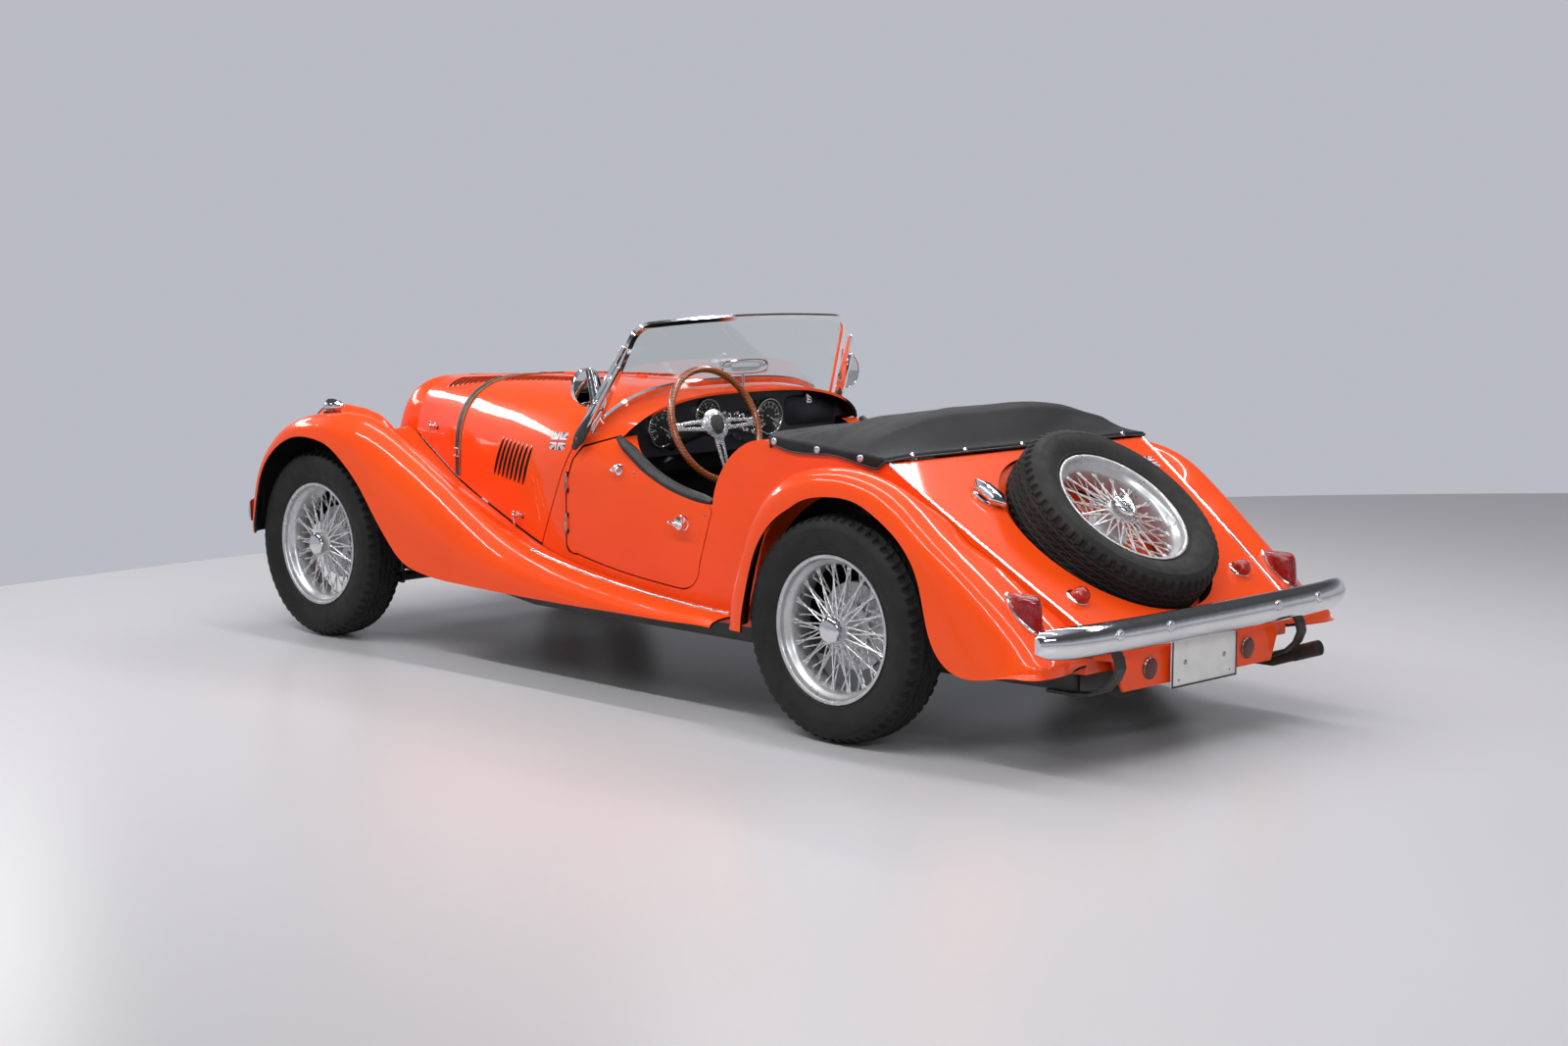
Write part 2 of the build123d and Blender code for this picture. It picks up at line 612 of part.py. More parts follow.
def make_rear_wing():
    return wing_shell(wing_grid(REAR_WING, REAR_CROWN_Y, REAR_RISE), (0, 0, 1), (0, 0, -1))


def make_inner_wing():
    """Panel from the wing joint down to the chassis, beside the engine."""
    x0, x1 = REAR_EDGE_FOOT - 3, BONNET_FRONT - 2 - SEAT_GAP
    count = 8
    xs = [x0 + (x1 - x0) * i / (count - 1) for i in range(count)]
    out = [(x, side(x)) for x in xs]
    inn = [(x, side(x) - WING_SKIN) for x in xs][::-1]
    panel = plan_prism([out, [out[-1], inn[0]], inn, [inn[-1], out[0]]], FRAME_TOP - 20, 760)
    top = joint_run(x0 - 2, x1 + 2, -4, 12)
    low = FRAME_TOP + 8
    feet = [top[-1], (x1 + 2, AXLE_SLOT_Z), (front(-110), AXLE_SLOT_Z), (front(-110), low), (x0 - 2, low), top[0]]
    outline = [top] + [[feet[i], feet[i + 1]] for i in range(len(feet) - 1)]
    return (panel & side_prism(outline, 0, BODY_HALF + 10)).solids()[0]


AXLE_SLOT_Z = 500.0


# ---- Radiator cowl and grille --------------------------------------------------------------
# Front of the cowl: (z, x of the nose, half width at the bonnet joint)
COWL = [(330, 246, 226), (430, 240, 230), (540, 214, 233), (640, 182, 234), (720, 152, 228),
        (780, 130, 210), (825, 108, 172), (850, 84, 128), (862, 56, 82)]
COWL_SKIN = 9.0
COWL_POWER = 4.0    # squareness of the cowl in plan
GRILLE_HALF = 150.0
GRILLE_TOP = 800.0
GRILLE_LOW = 372.0


def cowl_form(inset):
    wires = []
    back = BONNET_FRONT + GAP + 0.5
    for z, nose, half in COWL:
        z = z - inset if z > 700 else z
        nose_x = front(nose) - inset
        half = half - inset
        rim = []
        for k in range(13):
            angle = math.radians(90 - 15 * k)
            c = max(math.cos(angle), 0.0) ** (2 / COWL_POWER)
            s = math.copysign(abs(math.sin(angle)) ** (2 / COWL_POWER), math.sin(angle))
            rim.append((back + (nose_x - back) * c, half * s, z))
        wires.append(closed_wire([rim, [rim[-1], rim[0]]]))
    return Solid.make_loft(wires)


def grille_outline(shrink):
    """Runs of the grille's opening in the front view, arched at its top."""
    w, top, low = GRILLE_HALF - shrink, GRILLE_TOP - shrink, GRILLE_LOW + shrink
    shoulder = top - 120
    arch = [(w, shoulder), (0.86 * w, shoulder + 62), (0.5 * w, shoulder + 106), (0, top),
            (-0.5 * w, shoulder + 106), (-0.86 * w, shoulder + 62), (-w, shoulder)]
    toe = 0.78 * w
    return [arch, [(-w, shoulder), (-toe, low)], [(-toe, low), (toe, low)], [(toe, low), (w, shoulder)]]


def make_cowl():
    shell = cowl_form(0.0) - cowl_form(COWL_SKIN)
    shell = shell - front_prism(grille_outline(0.0), front(40), front(300))
    shell = shell - block(front(-30), front(60), -300, 300, 300, AXLE_SLOT_Z)
    return max(shell.solids(), key=lambda s: s.volume)


SLATS = 13
SLAT_W = 6.0


def nose_x(z):
    return front(smooth(z, [(z0, x0) for z0, x0, _ in COWL]))


def make_grille():
    """Frame with upright slats that follow the nose."""
    levels = [330, 430, 540, 640, 720, 780, 825]
    face = [(nose_x(z) - 12, z) for z in levels]
    back = [(x - 26, z) for x, z in face][::-1]
    band = side_prism([face, [face[-1], back[0]], back, [back[-1], face[0]]], -GRILLE_HALF - 5, GRILLE_HALF + 5)
    window = front_prism(grille_outline(SEAT_GAP), front(0), front(300))
    frame = (band & window) - front_prism(grille_outline(9.0), front(0), front(300))
    whole = frame
    pitch = 2 * (GRILLE_HALF - 9) / (SLATS + 1)
    for i in range(SLATS):
        y = -GRILLE_HALF + 9 + pitch * (i + 1)
        slat = side_prism([face, [face[-1], back[0]], back, [back[-1], face[0]]], y - SLAT_W / 2, y + SLAT_W / 2)
        whole = whole + (slat & front_prism(grille_outline(4.0), front(0), front(300)))
    return whole


# ---- Rear body -----------------------------------------------------------------------------
DECK_X = rear(-109)      # where the deck begins to slope
DECK_Z = 775.0
TAIL_DECK_X = rear(-710)
TAIL_DECK_Z = 369.0
TUB_LOW = 258.0
WELL_R = 356.0           # rear wheel wells
WELL_Y = 530.0
PAN_R = 334.0            # recess for the spare wheel
SPARE_X = rear(-436.6)
SPARE_Z = 596.0
SPARE_AXIS = (-math.sin(math.radians(SPARE_TILT)), 0, math.cos(math.radians(SPARE_TILT)))
TUB_TOP = [(-407, 615), (-442, 702), (-499, 763), (-555, 794), (-622, 806)]


def band(x0, x1, inset, count):
    return [(x0 + (x1 - x0) * i / (count - 1), side(x0 + (x1 - x0) * i / (count - 1)) - inset)
            for i in range(count)]


def tub_plan(x_front, x_back, inset, z0, z1):
    left = band(x_front, x_back, inset, 12)
    right = [(x, -y) for x, y in left][::-1]
    return plan_prism([left, [left[-1], right[0]], right, [right[-1], left[0]]], z0, z1)


TUB_ABOVE = 900.0  # above the tub's top edge


def make_rear_body():
    """Tub sides, sills under the doors, and the sloping deck with its recess."""
    outer = tub_plan(SILL_FRONT - SEAT_GAP, TAIL_DECK_X, 0, TUB_LOW, TUB_ABOVE)
    top = [
        [(SILL_FRONT, TUB_LOW), (SILL_FRONT, 600)],
        [(SILL_FRONT, 600), (TUB_TOP[0][0], 600)],
        [(TUB_TOP[0][0], 600), TUB_TOP[0]],
        TUB_TOP,
        [TUB_TOP[-1], (DECK_X, DECK_Z)],
        [(DECK_X, DECK_Z), (TAIL_DECK_X, TAIL_DECK_Z)],
        [(TAIL_DECK_X, TAIL_DECK_Z), (TAIL_DECK_X, TUB_LOW)],
        [(TAIL_DECK_X, TUB_LOW), (SILL_FRONT, TUB_LOW)],
    ]
    form = outer & side_prism(top, -BODY_HALF - 40, BODY_HALF + 40)
    slope = math.atan2(DECK_Z - TAIL_DECK_Z, DECK_X - TAIL_DECK_X)
    drop = SKIN / math.cos(slope)
    inner = tub_plan(SILL_FRONT + 50, TAIL_DECK_X + SKIN, TUB_T, TUB_LOW - 10, TUB_ABOVE)
    under = [(SILL_FRONT + 60, TUB_LOW - 10), (SILL_FRONT + 60, TUB_ABOVE), (DECK_X + SKIN, TUB_ABOVE),
             (DECK_X + SKIN, DECK_Z - drop), (TAIL_DECK_X - 10, TAIL_DECK_Z - drop), (TAIL_DECK_X - 10, TUB_LOW - 10)]
    hollow = inner & side_prism(polygon(under), -BODY_HALF - 40, BODY_HALF + 40)
    body = form - hollow
    for hand in (1, -1):
        door = side_prism(door_outline(GAP), BODY_HALF - 140, BODY_HALF + 60)
        well = rod((REAR_X, WELL_Y, AXLE_Z), (REAR_X, BODY_HALF + 60, AXLE_Z), WELL_R)
        body = body - (door if hand > 0 else mirrored(door)) - (well if hand > 0 else mirrored(well))
    sink = TYRE_W / 2 + SEAT_GAP
    pan = Plane(origin=(SPARE_X, 0, SPARE_Z), z_dir=SPARE_AXIS)
    outer_pan = pan.location * Pos(0, 0, -sink - SKIN + 100) * Cylinder(PAN_R + SKIN, 200)
    inner_pan = pan.location * Pos(0, 0, -sink + 200) * Cylinder(PAN_R, 400)
    below = side_prism(polygon([(DECK_X + 300, DECK_Z + 300 * math.tan(slope)), (TAIL_DECK_X, TAIL_DECK_Z),
                                (TAIL_DECK_X, 200), (DECK_X + 300, 200)]), -BODY_HALF, BODY_HALF)
    tub_inside = block(TAIL_DECK_X + 1, DECK_X + 200, -BODY_HALF + 100, BODY_HALF - 100, TUB_LOW + 4, TUB_ABOVE)
    body = body + (outer_pan & below & tub_inside) - inner_pan
    return max(body.solids(), key=lambda s: s.volume)


VALANCE_LOW = 201.0
PLATE_W, PLATE_H = 300.0, 132.0
PLATE_HOLES = 180.0      # between the two screws
PLATE_HOLE_R = 3.25


def make_valance():
    x0 = TAIL_DECK_X - SEAT_GAP
    low, top = VALANCE_LOW, TAIL_DECK_Z - 4
    half = side(TAIL_DECK_X) - 6
    outline = polygon([(-half, top), (-half, 300), (-half + 70, 286), (-342, low), (342, low),
                       (half - 70, 286), (half, 300), (half, top)])
    face = [(x0, top), (x0 - 26, 300), (x0 - 32, low)]
    back = [(x + SKIN, z) for x, z in face][::-1]
    strip = side_prism(polygon(face + back), -half - 5, half + 5)
    strip = strip & block(x0 - 60, x0, -half - 6, half + 6, low - 5, top + 5)
    return (strip & front_prism(outline, x0 - 60, x0 + 20)).solids()[0]


def make_plate():
    x0 = TAIL_DECK_X - 32 - SEAT_GAP - 14
    plate = block(x0, x0 + 3, -PLATE_W / 2, PLATE_W / 2, 186, 186 + PLATE_H)
    for y in (-PLATE_W / 2 + 40, PLATE_W / 2 - 40):
        plate = plate + block(x0 + 2, TAIL_DECK_X - 29.1, y - 8, y + 8, 262, 274)
    for y in (-PLATE_HOLES / 2, PLATE_HOLES / 2):
        plate = plate - rod((x0 - 5, y, 186 + PLATE_H / 2), (x0 + 20, y, 186 + PLATE_H / 2), PLATE_HOLE_R)
    return plate


# ---- Underside -----------------------------------------------------------------------------
RAIL_LINE = [(rear(-640), 400), (rear(-250), 440), (-500, 478), (480, 478), (front(-390), 300), (front(210), 290)]
CROSS_X = [rear(-620), rear(-250), rear(330), -300, 100, 620, front(-330), front(180)]
CROSS_W = 50.0
CROSS_H = 40.0
ENGINE_X = (600.0, 1120.0)
ENGINE_HALF = 170.0


def rail_y(x):
    for (x0, y0), (x1, y1) in zip(RAIL_LINE, RAIL_LINE[1:]):
        if x <= x1:
            break
    return y0 + (y1 - y0) * (x - x0) / (x1 - x0)


def make_chassis():
    """Two side rails and the cross members between them."""
    out = [(x, y + RAIL_W / 2) for x, y in RAIL_LINE]
    inn = [(x, y - RAIL_W / 2) for x, y in RAIL_LINE][::-1]
    rail = plan_prism(polygon(out + inn), FRAME_Z, FRAME_TOP)
    whole = rail + mirrored(rail)
    for x in CROSS_X:
        reach = rail_y(x)
        whole = whole + block(x - CROSS_W / 2, x + CROSS_W / 2, -reach, reach, FRAME_Z, FRAME_Z + CROSS_H)
    return whole


KINGPIN_Y = TRACK_FRONT / 2 - KINGPIN_IN
PILLAR_LOW = AXLE_Z - 147
PILLAR_TOP = AXLE_Z + 153
CROSS_TUBE_R = 18.0
SLEEVE_R = 27.0
SLEEVE_H = 96.0
RUN_GAP = 0.1            # round shafts that turn


def make_front_axle():
    """Cross head: two tubes, the king pins at their ends, and plates that carry them on the rails."""
    plate_y = rail_y(FRONT_X) + RAIL_W / 2 + 0.95
    plate = block(FRONT_X - 34, FRONT_X + 34, plate_y, plate_y + 8, PILLAR_LOW - 20, PILLAR_TOP + 24)
    tube_low = rod((FRONT_X, 0, PILLAR_LOW), (FRONT_X, KINGPIN_Y, PILLAR_LOW), CROSS_TUBE_R)
    tube_top = rod((FRONT_X, 0, PILLAR_TOP), (FRONT_X, KINGPIN_Y, PILLAR_TOP), CROSS_TUBE_R)
    pin = rod((FRONT_X, KINGPIN_Y, PILLAR_LOW - 26), (FRONT_X, KINGPIN_Y, PILLAR_TOP + 26), KINGPIN_R)
    ends = [rod((FRONT_X, KINGPIN_Y, z - 24), (FRONT_X, KINGPIN_Y, z + 24), KINGPIN_R + 8)
            for z in (PILLAR_LOW, PILLAR_TOP)]
    half = fused(tube_low, tube_top, pin, *ends, plate)
    return half + mirrored(half)


def make_knuckle():
    """Sleeve on the king pin, stub axle and brake back plate, for the left front wheel."""
    wheel_y = TRACK_FRONT / 2
    sleeve = rod((FRONT_X, KINGPIN_Y, AXLE_Z - SLEEVE_H / 2), (FRONT_X, KINGPIN_Y, AXLE_Z + SLEEVE_H / 2), SLEEVE_R)
    stub = rod((FRONT_X, KINGPIN_Y, AXLE_Z), (FRONT_X, wheel_y + STUB_END, AXLE_Z), STUB_R)
    plate = rod((FRONT_X, wheel_y - BACK_PLATE, AXLE_Z), (FRONT_X, wheel_y - BACK_PLATE + 4, AXLE_Z), PLATE_R)
    bore = rod((FRONT_X, KINGPIN_Y, 0), (FRONT_X, KINGPIN_Y, 2 * AXLE_Z), KINGPIN_R + RUN_GAP)
    pin_room = rod((FRONT_X, KINGPIN_Y, 0), (FRONT_X, KINGPIN_Y, AXLE_Z - SLEEVE_H / 2), KINGPIN_R + 12)
    top_room = rod((FRONT_X, KINGPIN_Y, AXLE_Z + SLEEVE_H / 2), (FRONT_X, KINGPIN_Y, 2 * AXLE_Z), KINGPIN_R + 12)
    return fused(sleeve, stub, plate) - bore - pin_room - top_room


BACK_PLATE = 61.0        # brake back plate's inner face inboard of the wheel's centre plane
PLATE_R = 115.0
DRUM_FACE = -34.0        # drum's outer face from the wheel's centre plane
DRUM_OPEN = -51.0        # its open end
STUB_END = 40.0          # stub axle's end outboard of the wheel's centre plane


def make_wheel(centre, out, with_drum=True):
    """Wire wheel: rim, hub, crossed spokes and brake drum. out points out of the car."""
    cone = 14.0
    rim = [(RIM_R, RIM_FACE), (RIM_R - 9, RIM_FACE), (RIM_R - 12, 44), (178, 26), (178, -26), (RIM_R - 12, -44),
           (RIM_R - 9, -RIM_FACE), (RIM_R, -RIM_FACE), (RIM_R, -RIM_FACE + 5), (RIM_R - 6, -44), (184, -20),
           (184, 20), (RIM_R - 6, 44), (RIM_R, RIM_FACE - 5)]
    whole = turned(rim, (0, 0, 0), (0, 0, 1))
    bore = STUB_R + RUN_GAP
    hub = [(bore, DRUM_FACE), (62, DRUM_FACE), (62, DRUM_FACE + 6), (HUB_R + 4, DRUM_FACE + 12), (HUB_R, 20),
           (HUB_R + 6, 34), (HUB_R, 38), (HUB_R - 2, HUB_OUT - 12), (HUB_R - 10, HUB_OUT), (0, HUB_OUT),
           (0, STUB_END + 6), (bore, STUB_END + 6)]
    parts = [turned(hub, (0, 0, 0), (0, 0, 1))]
    cap = turned([(0, HUB_OUT - 4), (30, HUB_OUT - 4), (30, HUB_OUT + 4), (24, HUB_OUT + 12), (0, HUB_OUT + 16)],
                 (0, 0, 0), (0, 0, 1))
    parts.append(cap)
    if with_drum:
        drum = turned([(bore, DRUM_FACE), (bore, DRUM_FACE - 6), (DRUM_R - 8, DRUM_FACE - 6), (DRUM_R - 8, DRUM_OPEN),
                       (DRUM_R, DRUM_OPEN), (DRUM_R, DRUM_FACE)], (0, 0, 0), (0, 0, 1))
        parts.append(drum)
    for z_hub, z_rim, r_hub, lead, skew in ((33, -8, HUB_R + 3, 2.6, 0), (DRUM_FACE + 3, 8, 59, 1.4, 0.5)):
        for i in range(SPOKE_PAIRS):
            for turn in (1, -1):
                a = 2 * math.pi * (i + skew + turn * 0.25 * 0.5) / SPOKE_PAIRS
                b = a + turn * lead * 2 * math.pi / SPOKE_PAIRS
                start = (r_hub * math.cos(a), r_hub * math.sin(a), z_hub)
                end = (181 * math.cos(b), 181 * math.sin(b), z_rim)
                parts.append(rod(start, end, SPOKE_R))
    whole = whole.fuse(*parts)
    return Plane(origin=centre, z_dir=out).location * whole


def make_tyre(centre, out):
    half = TYRE_W / 2
    bead = RIM_R - 5.4
    profile = [(bead, -42), (RIM_R + 0.6, -RIM_FACE + 6), (RIM_R + 44, -half), (TYRE_R - 24, -half + 8),
               (TYRE_R, -half + 26), (TYRE_R, half - 26), (TYRE_R - 24, half - 8), (RIM_R + 44, half),
               (RIM_R + 0.6, RIM_FACE - 6), (bead, 42)]
    return turned(profile, centre, out)


def make_rear_axle():
    """Axle casing with its differential, flanges and half-shaft ends."""
    reach = TRACK_REAR / 2 - BACK_PLATE
    tube = rod((REAR_X, -reach, AXLE_Z), (REAR_X, reach, AXLE_Z), AXLE_TUBE_R)
    casing = Pos(REAR_X, 0, AXLE_Z) * Sphere(DIFF_R)
    whole = tube + casing
    for hand in (1, -1):
        whole = whole + rod((REAR_X, hand * reach, AXLE_Z), (REAR_X, hand * (reach + 4), AXLE_Z), PLATE_R)
        whole = whole + rod((REAR_X, hand * (reach - 20), AXLE_Z),
                            (REAR_X, hand * (TRACK_REAR / 2 + STUB_END), AXLE_Z), STUB_R)
        whole = whole + spring_leaf(hand)
    return whole


AXLE_TUBE_R = 38.0
DIFF_R = 54.0


SPRING_Y = 365.0
SPRING_HALF = 19.0
SPRING_REACH = 530.0     # axle to each end of a spring


def spring_leaf(hand):
    """Leaf spring on the cross members, with the seat that carries the axle."""
    low, y = FRAME_Z + CROSS_H + SEAT_GAP, hand * SPRING_Y
    leaf = block(REAR_X - SPRING_REACH, REAR_X + SPRING_REACH, y - SPRING_HALF, y + SPRING_HALF, low, low + 19)
    seat = block(REAR_X - 45, REAR_X + 45, y - SPRING_HALF - 6, y + SPRING_HALF + 6, low, AXLE_Z - AXLE_TUBE_R + 6)
    return leaf + seat


def make_engine():
    x0, x1 = ENGINE_X
    low = FRAME_Z + CROSS_H + SEAT_GAP
    engine = block(x0, x1, -ENGINE_HALF, ENGINE_HALF, low, 700)
    gearbox = block(TOE_X + BULKHEAD_T + 6, x0, -105, 105, low, 420)
    return engine + gearbox


def make_tank():
    low = FRAME_TOP + SEAT_GAP
    tank = block(rear(-560), rear(-215), -395, 395, low, low + 105)
    return tank


EXHAUST_R = 20.5
TIP_R = 22.2
TIP_L = 90.0
SILENCER_R = 40.0
EXHAUST_Y = -250.0
PIPE_END = (TAIL_X + 10, -470.0, 230.0)


def make_exhaust():
    """Down pipe, silencer and tail pipe, hung under the cross members."""
    z = FRAME_Z - EXHAUST_R - SEAT_GAP
    points = [(740, -ENGINE_HALF - EXHAUST_R - SEAT_GAP, 330), (705, EXHAUST_Y, z), (rear(-290), EXHAUST_Y, z),
              (rear(-500), -460, z), (rear(-665), -467, z), PIPE_END]
    whole = rod(points[0], points[1], EXHAUST_R)
    for a, b in zip(points[1:], points[2:]):
        whole = whole + rod(a, b, EXHAUST_R) + Pos(*a) * Sphere(EXHAUST_R)
    low = FRAME_Z - SILENCER_R - SEAT_GAP
    silencer = rod((-560, EXHAUST_Y, low), (-20, EXHAUST_Y, low), SILENCER_R)
    run = (Vector(*points[-1]) - Vector(*points[-2])).normalized()
    tip = rod(tuple(Vector(*PIPE_END) - run * TIP_L), PIPE_END, TIP_R)
    return whole + silencer + tip


TUNNEL_HALF = 108.0
TUNNEL_TOP = 432.0


def make_floor():
    """Floor pan with the transmission tunnel."""
    low = FRAME_TOP + SEAT_GAP
    back = rear(300)
    wide = BODY_HALF - TUB_T - SEAT_GAP
    front_x = TOE_X - SEAT_GAP
    pan = block(back, front_x, -wide, wide, low, low + FLOOR_T)
    tunnel = block(back, front_x, -TUNNEL_HALF, TUNNEL_HALF, low, TUNNEL_TOP)
    hollow = block(back - 1, front_x + 1, -TUNNEL_HALF + 8, TUNNEL_HALF - 8, low - 1, TUNNEL_TOP - 8)
    rear_wall = block(back, back + 8, -wide, wide, low, 560)
    return pan + rear_wall + tunnel - hollow


# ---- Cabin ---------------------------------------------------------------------------------
DASH_X = 62.0
DASH_T = 16.0
DASH_LOW = 694.0
DASH_HALF = 452.0
DIALS = [(333.0, 781.0, 57.0), (138.0, 811.0, 50.0), (-135.0, 791.0, 57.0)]  # y, z, radius


def column_point(distance):
    tilt = math.radians(STEER_TILT)
    x, y, z = STEER_CENTRE
    return (x + distance * math.cos(tilt), y, z - distance * math.sin(tilt))


STEER_AXIS = (-math.cos(math.radians(STEER_TILT)), 0, math.sin(math.radians(STEER_TILT)))
COLUMN_R = 19.0


def make_dash():
    x0, x1 = DASH_X, DASH_X + DASH_T
    top = []
    inset = SKIN + 1.0
    for k in range(13):
        angle = math.radians(90 - 7.5 * k)
        c = abs(math.cos(angle)) ** (2 / SECTION_POWER) if k else 0.0
        s = abs(math.sin(angle)) ** (2 / SECTION_POWER)
        rise = crown(x0) - inset - SHOULDER_Z
        top.append(((side(x0) - inset) * c, SHOULDER_Z + rise * s))
    other = [(-y, z) for y, z in reversed(top)]
    wide = top[-1][0]
    runs = [top, [top[-1], (wide, 500)], [(wide, 500), (-wide, 500)], [(-wide, 500), other[0]], other]
    board = front_prism(runs, x0, x1)
    low = [(-DASH_HALF, 774), (-DASH_HALF, 740), (-DASH_HALF + 50, DASH_LOW), (DASH_HALF - 50, DASH_LOW),
           (DASH_HALF, 740), (DASH_HALF, 774), (540, 774), (540, 950), (-540, 950), (-540, 774)]
    board = board & front_prism(polygon(low), x0, x1)
    for y, z, r in DIALS:
        board = board + rod((x0 + 2, y, z), (x0 - 5, y, z), r)
    return board - rod(column_point(40), column_point(400), COLUMN_R + 3)


def make_column():
    """Steering column from the wheel's hub to the bulkhead."""
    end = (BULKHEAD_X - BULKHEAD_T - STEER_CENTRE[0]) / math.cos(math.radians(STEER_TILT)) - 7.35
    return rod(column_point(46), column_point(end), COLUMN_R)


def make_steering_wheel():
    """Wood rim, three flat spokes and hub, about the column's axis."""
    rim = Pos(0, 0, 0) * Torus(STEER_R - 11, 11)
    hub = Pos(0, 0, -12) * Cylinder(42, 20)
    boss = Pos(0, 0, -32) * Cylinder(26, 26)
    whole = rim + hub + boss
    for turn in (0, 90, 180):
        spoke = Pos((STEER_R - 11) / 2, 0, -6) * Box(STEER_R - 11, 30, 4)
        whole = whole + Rot(0, 0, turn) * spoke
    place = Plane(origin=STEER_CENTRE, x_dir=(0, 1, 0), z_dir=STEER_AXIS)
    return place.location * whole


SEAT_BASE = FRAME_TOP + SEAT_GAP + FLOOR_T + SEAT_GAP


def make_seats():
    """Two bucket seats: cushion and back."""
    y0, y1 = TUNNEL_HALF + 14, BODY_HALF - TUB_T - 22
    base = [(-600, SEAT_BASE), (-110, SEAT_BASE), (-96, 360), (-100, 420), (-500, 390), (-590, 390)]
    cushion = side_prism(polygon(base), y0, y1)
    back = side_prism(polygon([(-602, 390.3), (-505, 390.3), (-570, 748), (-612, 764), (-668, 752)]), y0, y1)
    seat = cushion + back
    return both(seat)


def cover_top(x):
    return smooth(x, [(-1116, 782), (-1095, 820), (-1060, 865), (-1000, 888), (-880, 880), (-760, 842), (-690, 812)])


def body_top(x):
    """Height of the tub's side edge behind the doors."""
    (x0, z0), (x1, z1) = TUB_TOP[-1], (DECK_X, DECK_Z)
    return z0 + (z1 - z0) * (x - x0) / (x1 - x0)


def make_hood_cover():
    """Folded hood under its cover, as one closed form behind the seats."""
    wires = []
    for x in (-1104, -1085, -1050, -1000, -900, -780, -700):
        edge = body_top(x) + 16
        base = body_top(x) + SEAT_GAP
        wide = side(x) + 8
        top = max(cover_top(x), edge + 2)
        arch = [(x, wide, edge)]
        for k in range(1, 8):
            y = wide * math.cos(math.pi * k / 8)
            arch.append((x, y, edge + (top - edge) * (1 - abs(y / wide) ** 2.2)))
        arch.append((x, -wide, edge))
        wires.append(closed_wire([arch, [arch[-1], (x, -wide, base)], [(x, -wide, base), (x, wide, base)],
                                  [(x, wide, base), arch[0]]]))
    cap = Solid.make_loft(wires)
    inside = BODY_HALF - TUB_T - 6
    bag = block(DECK_X + SKIN + 6, -706, -inside, inside, 690, body_top(-706) + 4)
    bag = bag & side_prism(polygon([(DECK_X + SKIN + 6, 690), (-706, 690), (-706, body_top(-706) + 2),
                                    (DECK_X + SKIN + 6, body_top(DECK_X + SKIN + 6) + 2)]), -inside, inside)
    return cap + bag


# ---- Windscreen ----------------------------------------------------------------------------
def screen_plane():
    x, _, z = SCREEN_FOOT
    lean = math.atan(SCREEN_RAKE)
    return Plane(origin=(x, 0, z), x_dir=(0, 1, 0), z_dir=(math.cos(lean), 0, math.sin(lean)))


def screen_half(z):
    _, y0, z0 = SCREEN_FOOT
    y1, z1 = SCREEN_TOP
    return y0 + (y1 - y0) * (z - z0) / (z1 - z0)


def screen_face(side_in, top_in, low_in):
    """Closed outline of the screen in its own plane, drawn in by the given widths."""
    stretch = math.sqrt(1 + SCREEN_RAKE**2)

    def at(y, z):
        return (y, (z - SCREEN_FOOT[2]) * stretch, 0)

    def x_at(z):
        return SCREEN_FOOT[0] - SCREEN_RAKE * (z - SCREEN_FOOT[2])

    def sill(y):
        x = x_at(890)
        share = abs(y) / side(x)
        return SHOULDER_Z + (crown(x) - SHOULDER_Z) * (1 - share**SECTION_POWER) ** (1 / SECTION_POWER) + 7

    top_z = SCREEN_TOP[1] - top_in
    low = []
    wide = screen_half(830) - side_in
    for k in range(9):
        y = -wide + 2 * wide * k / 8
        low.append(at(y, sill(y) + low_in))
    half_top = screen_half(top_z) - side_in
    r = SCREEN_CORNER - top_in
    corner = screen_half(top_z - r) - side_in
    right = [low[-1], at(corner, top_z - r)]
    arc_r = [at(corner, top_z - r), at(half_top - 0.21 * r, top_z - 0.27 * r), at(half_top - r, top_z)]
    roof = [at(half_top - r, top_z), at(0, top_z + SCREEN_CROWN), at(-half_top + r, top_z)]
    arc_l = [at(-half_top + r, top_z), at(-half_top + 0.21 * r, top_z - 0.27 * r), at(-corner, top_z - r)]
    left = [at(-corner, top_z - r), low[0]]
    return Face(closed_wire([low, right, arc_r, roof, arc_l, left]))


FRAME_SIDE = 20.0
FRAME_HEAD = 13.0
SCREEN_T = 15.0
GLASS_T = 5.0


def make_screen_frame():
    outer = extrude(screen_face(0, 0, 0), amount=SCREEN_T / 2, dir=(0, 0, 1), both=True)
    inner = extrude(screen_face(FRAME_SIDE, FRAME_HEAD, 18), amount=SCREEN_T, dir=(0, 0, 1), both=True)
    frame = screen_plane().location * (outer - inner)
    x, _, z = SCREEN_FOOT
    foot_x, foot_z = x + 21, z + 12
    y_low = section_y(foot_x, foot_z) + 1
    leg = rod((foot_x - 3, y_low + 8, foot_z + 2), (x - SCREEN_RAKE * 110, screen_half(z + 110) - 8, z + 110), 9)
    foot = rod((foot_x, y_low, foot_z), (foot_x, y_low + 14, foot_z + 5), 11) - half_room(foot_x - 30, foot_x + 30, -0.5)
    return frame + leg + foot + mirrored(leg) + mirrored(foot)


def make_glass():
    pane = extrude(screen_face(FRAME_SIDE + SEAT_GAP, FRAME_HEAD + SEAT_GAP, 18 + SEAT_GAP), amount=GLASS_T / 2,
                   dir=(0, 0, 1), both=True)
    return screen_plane().location * pane


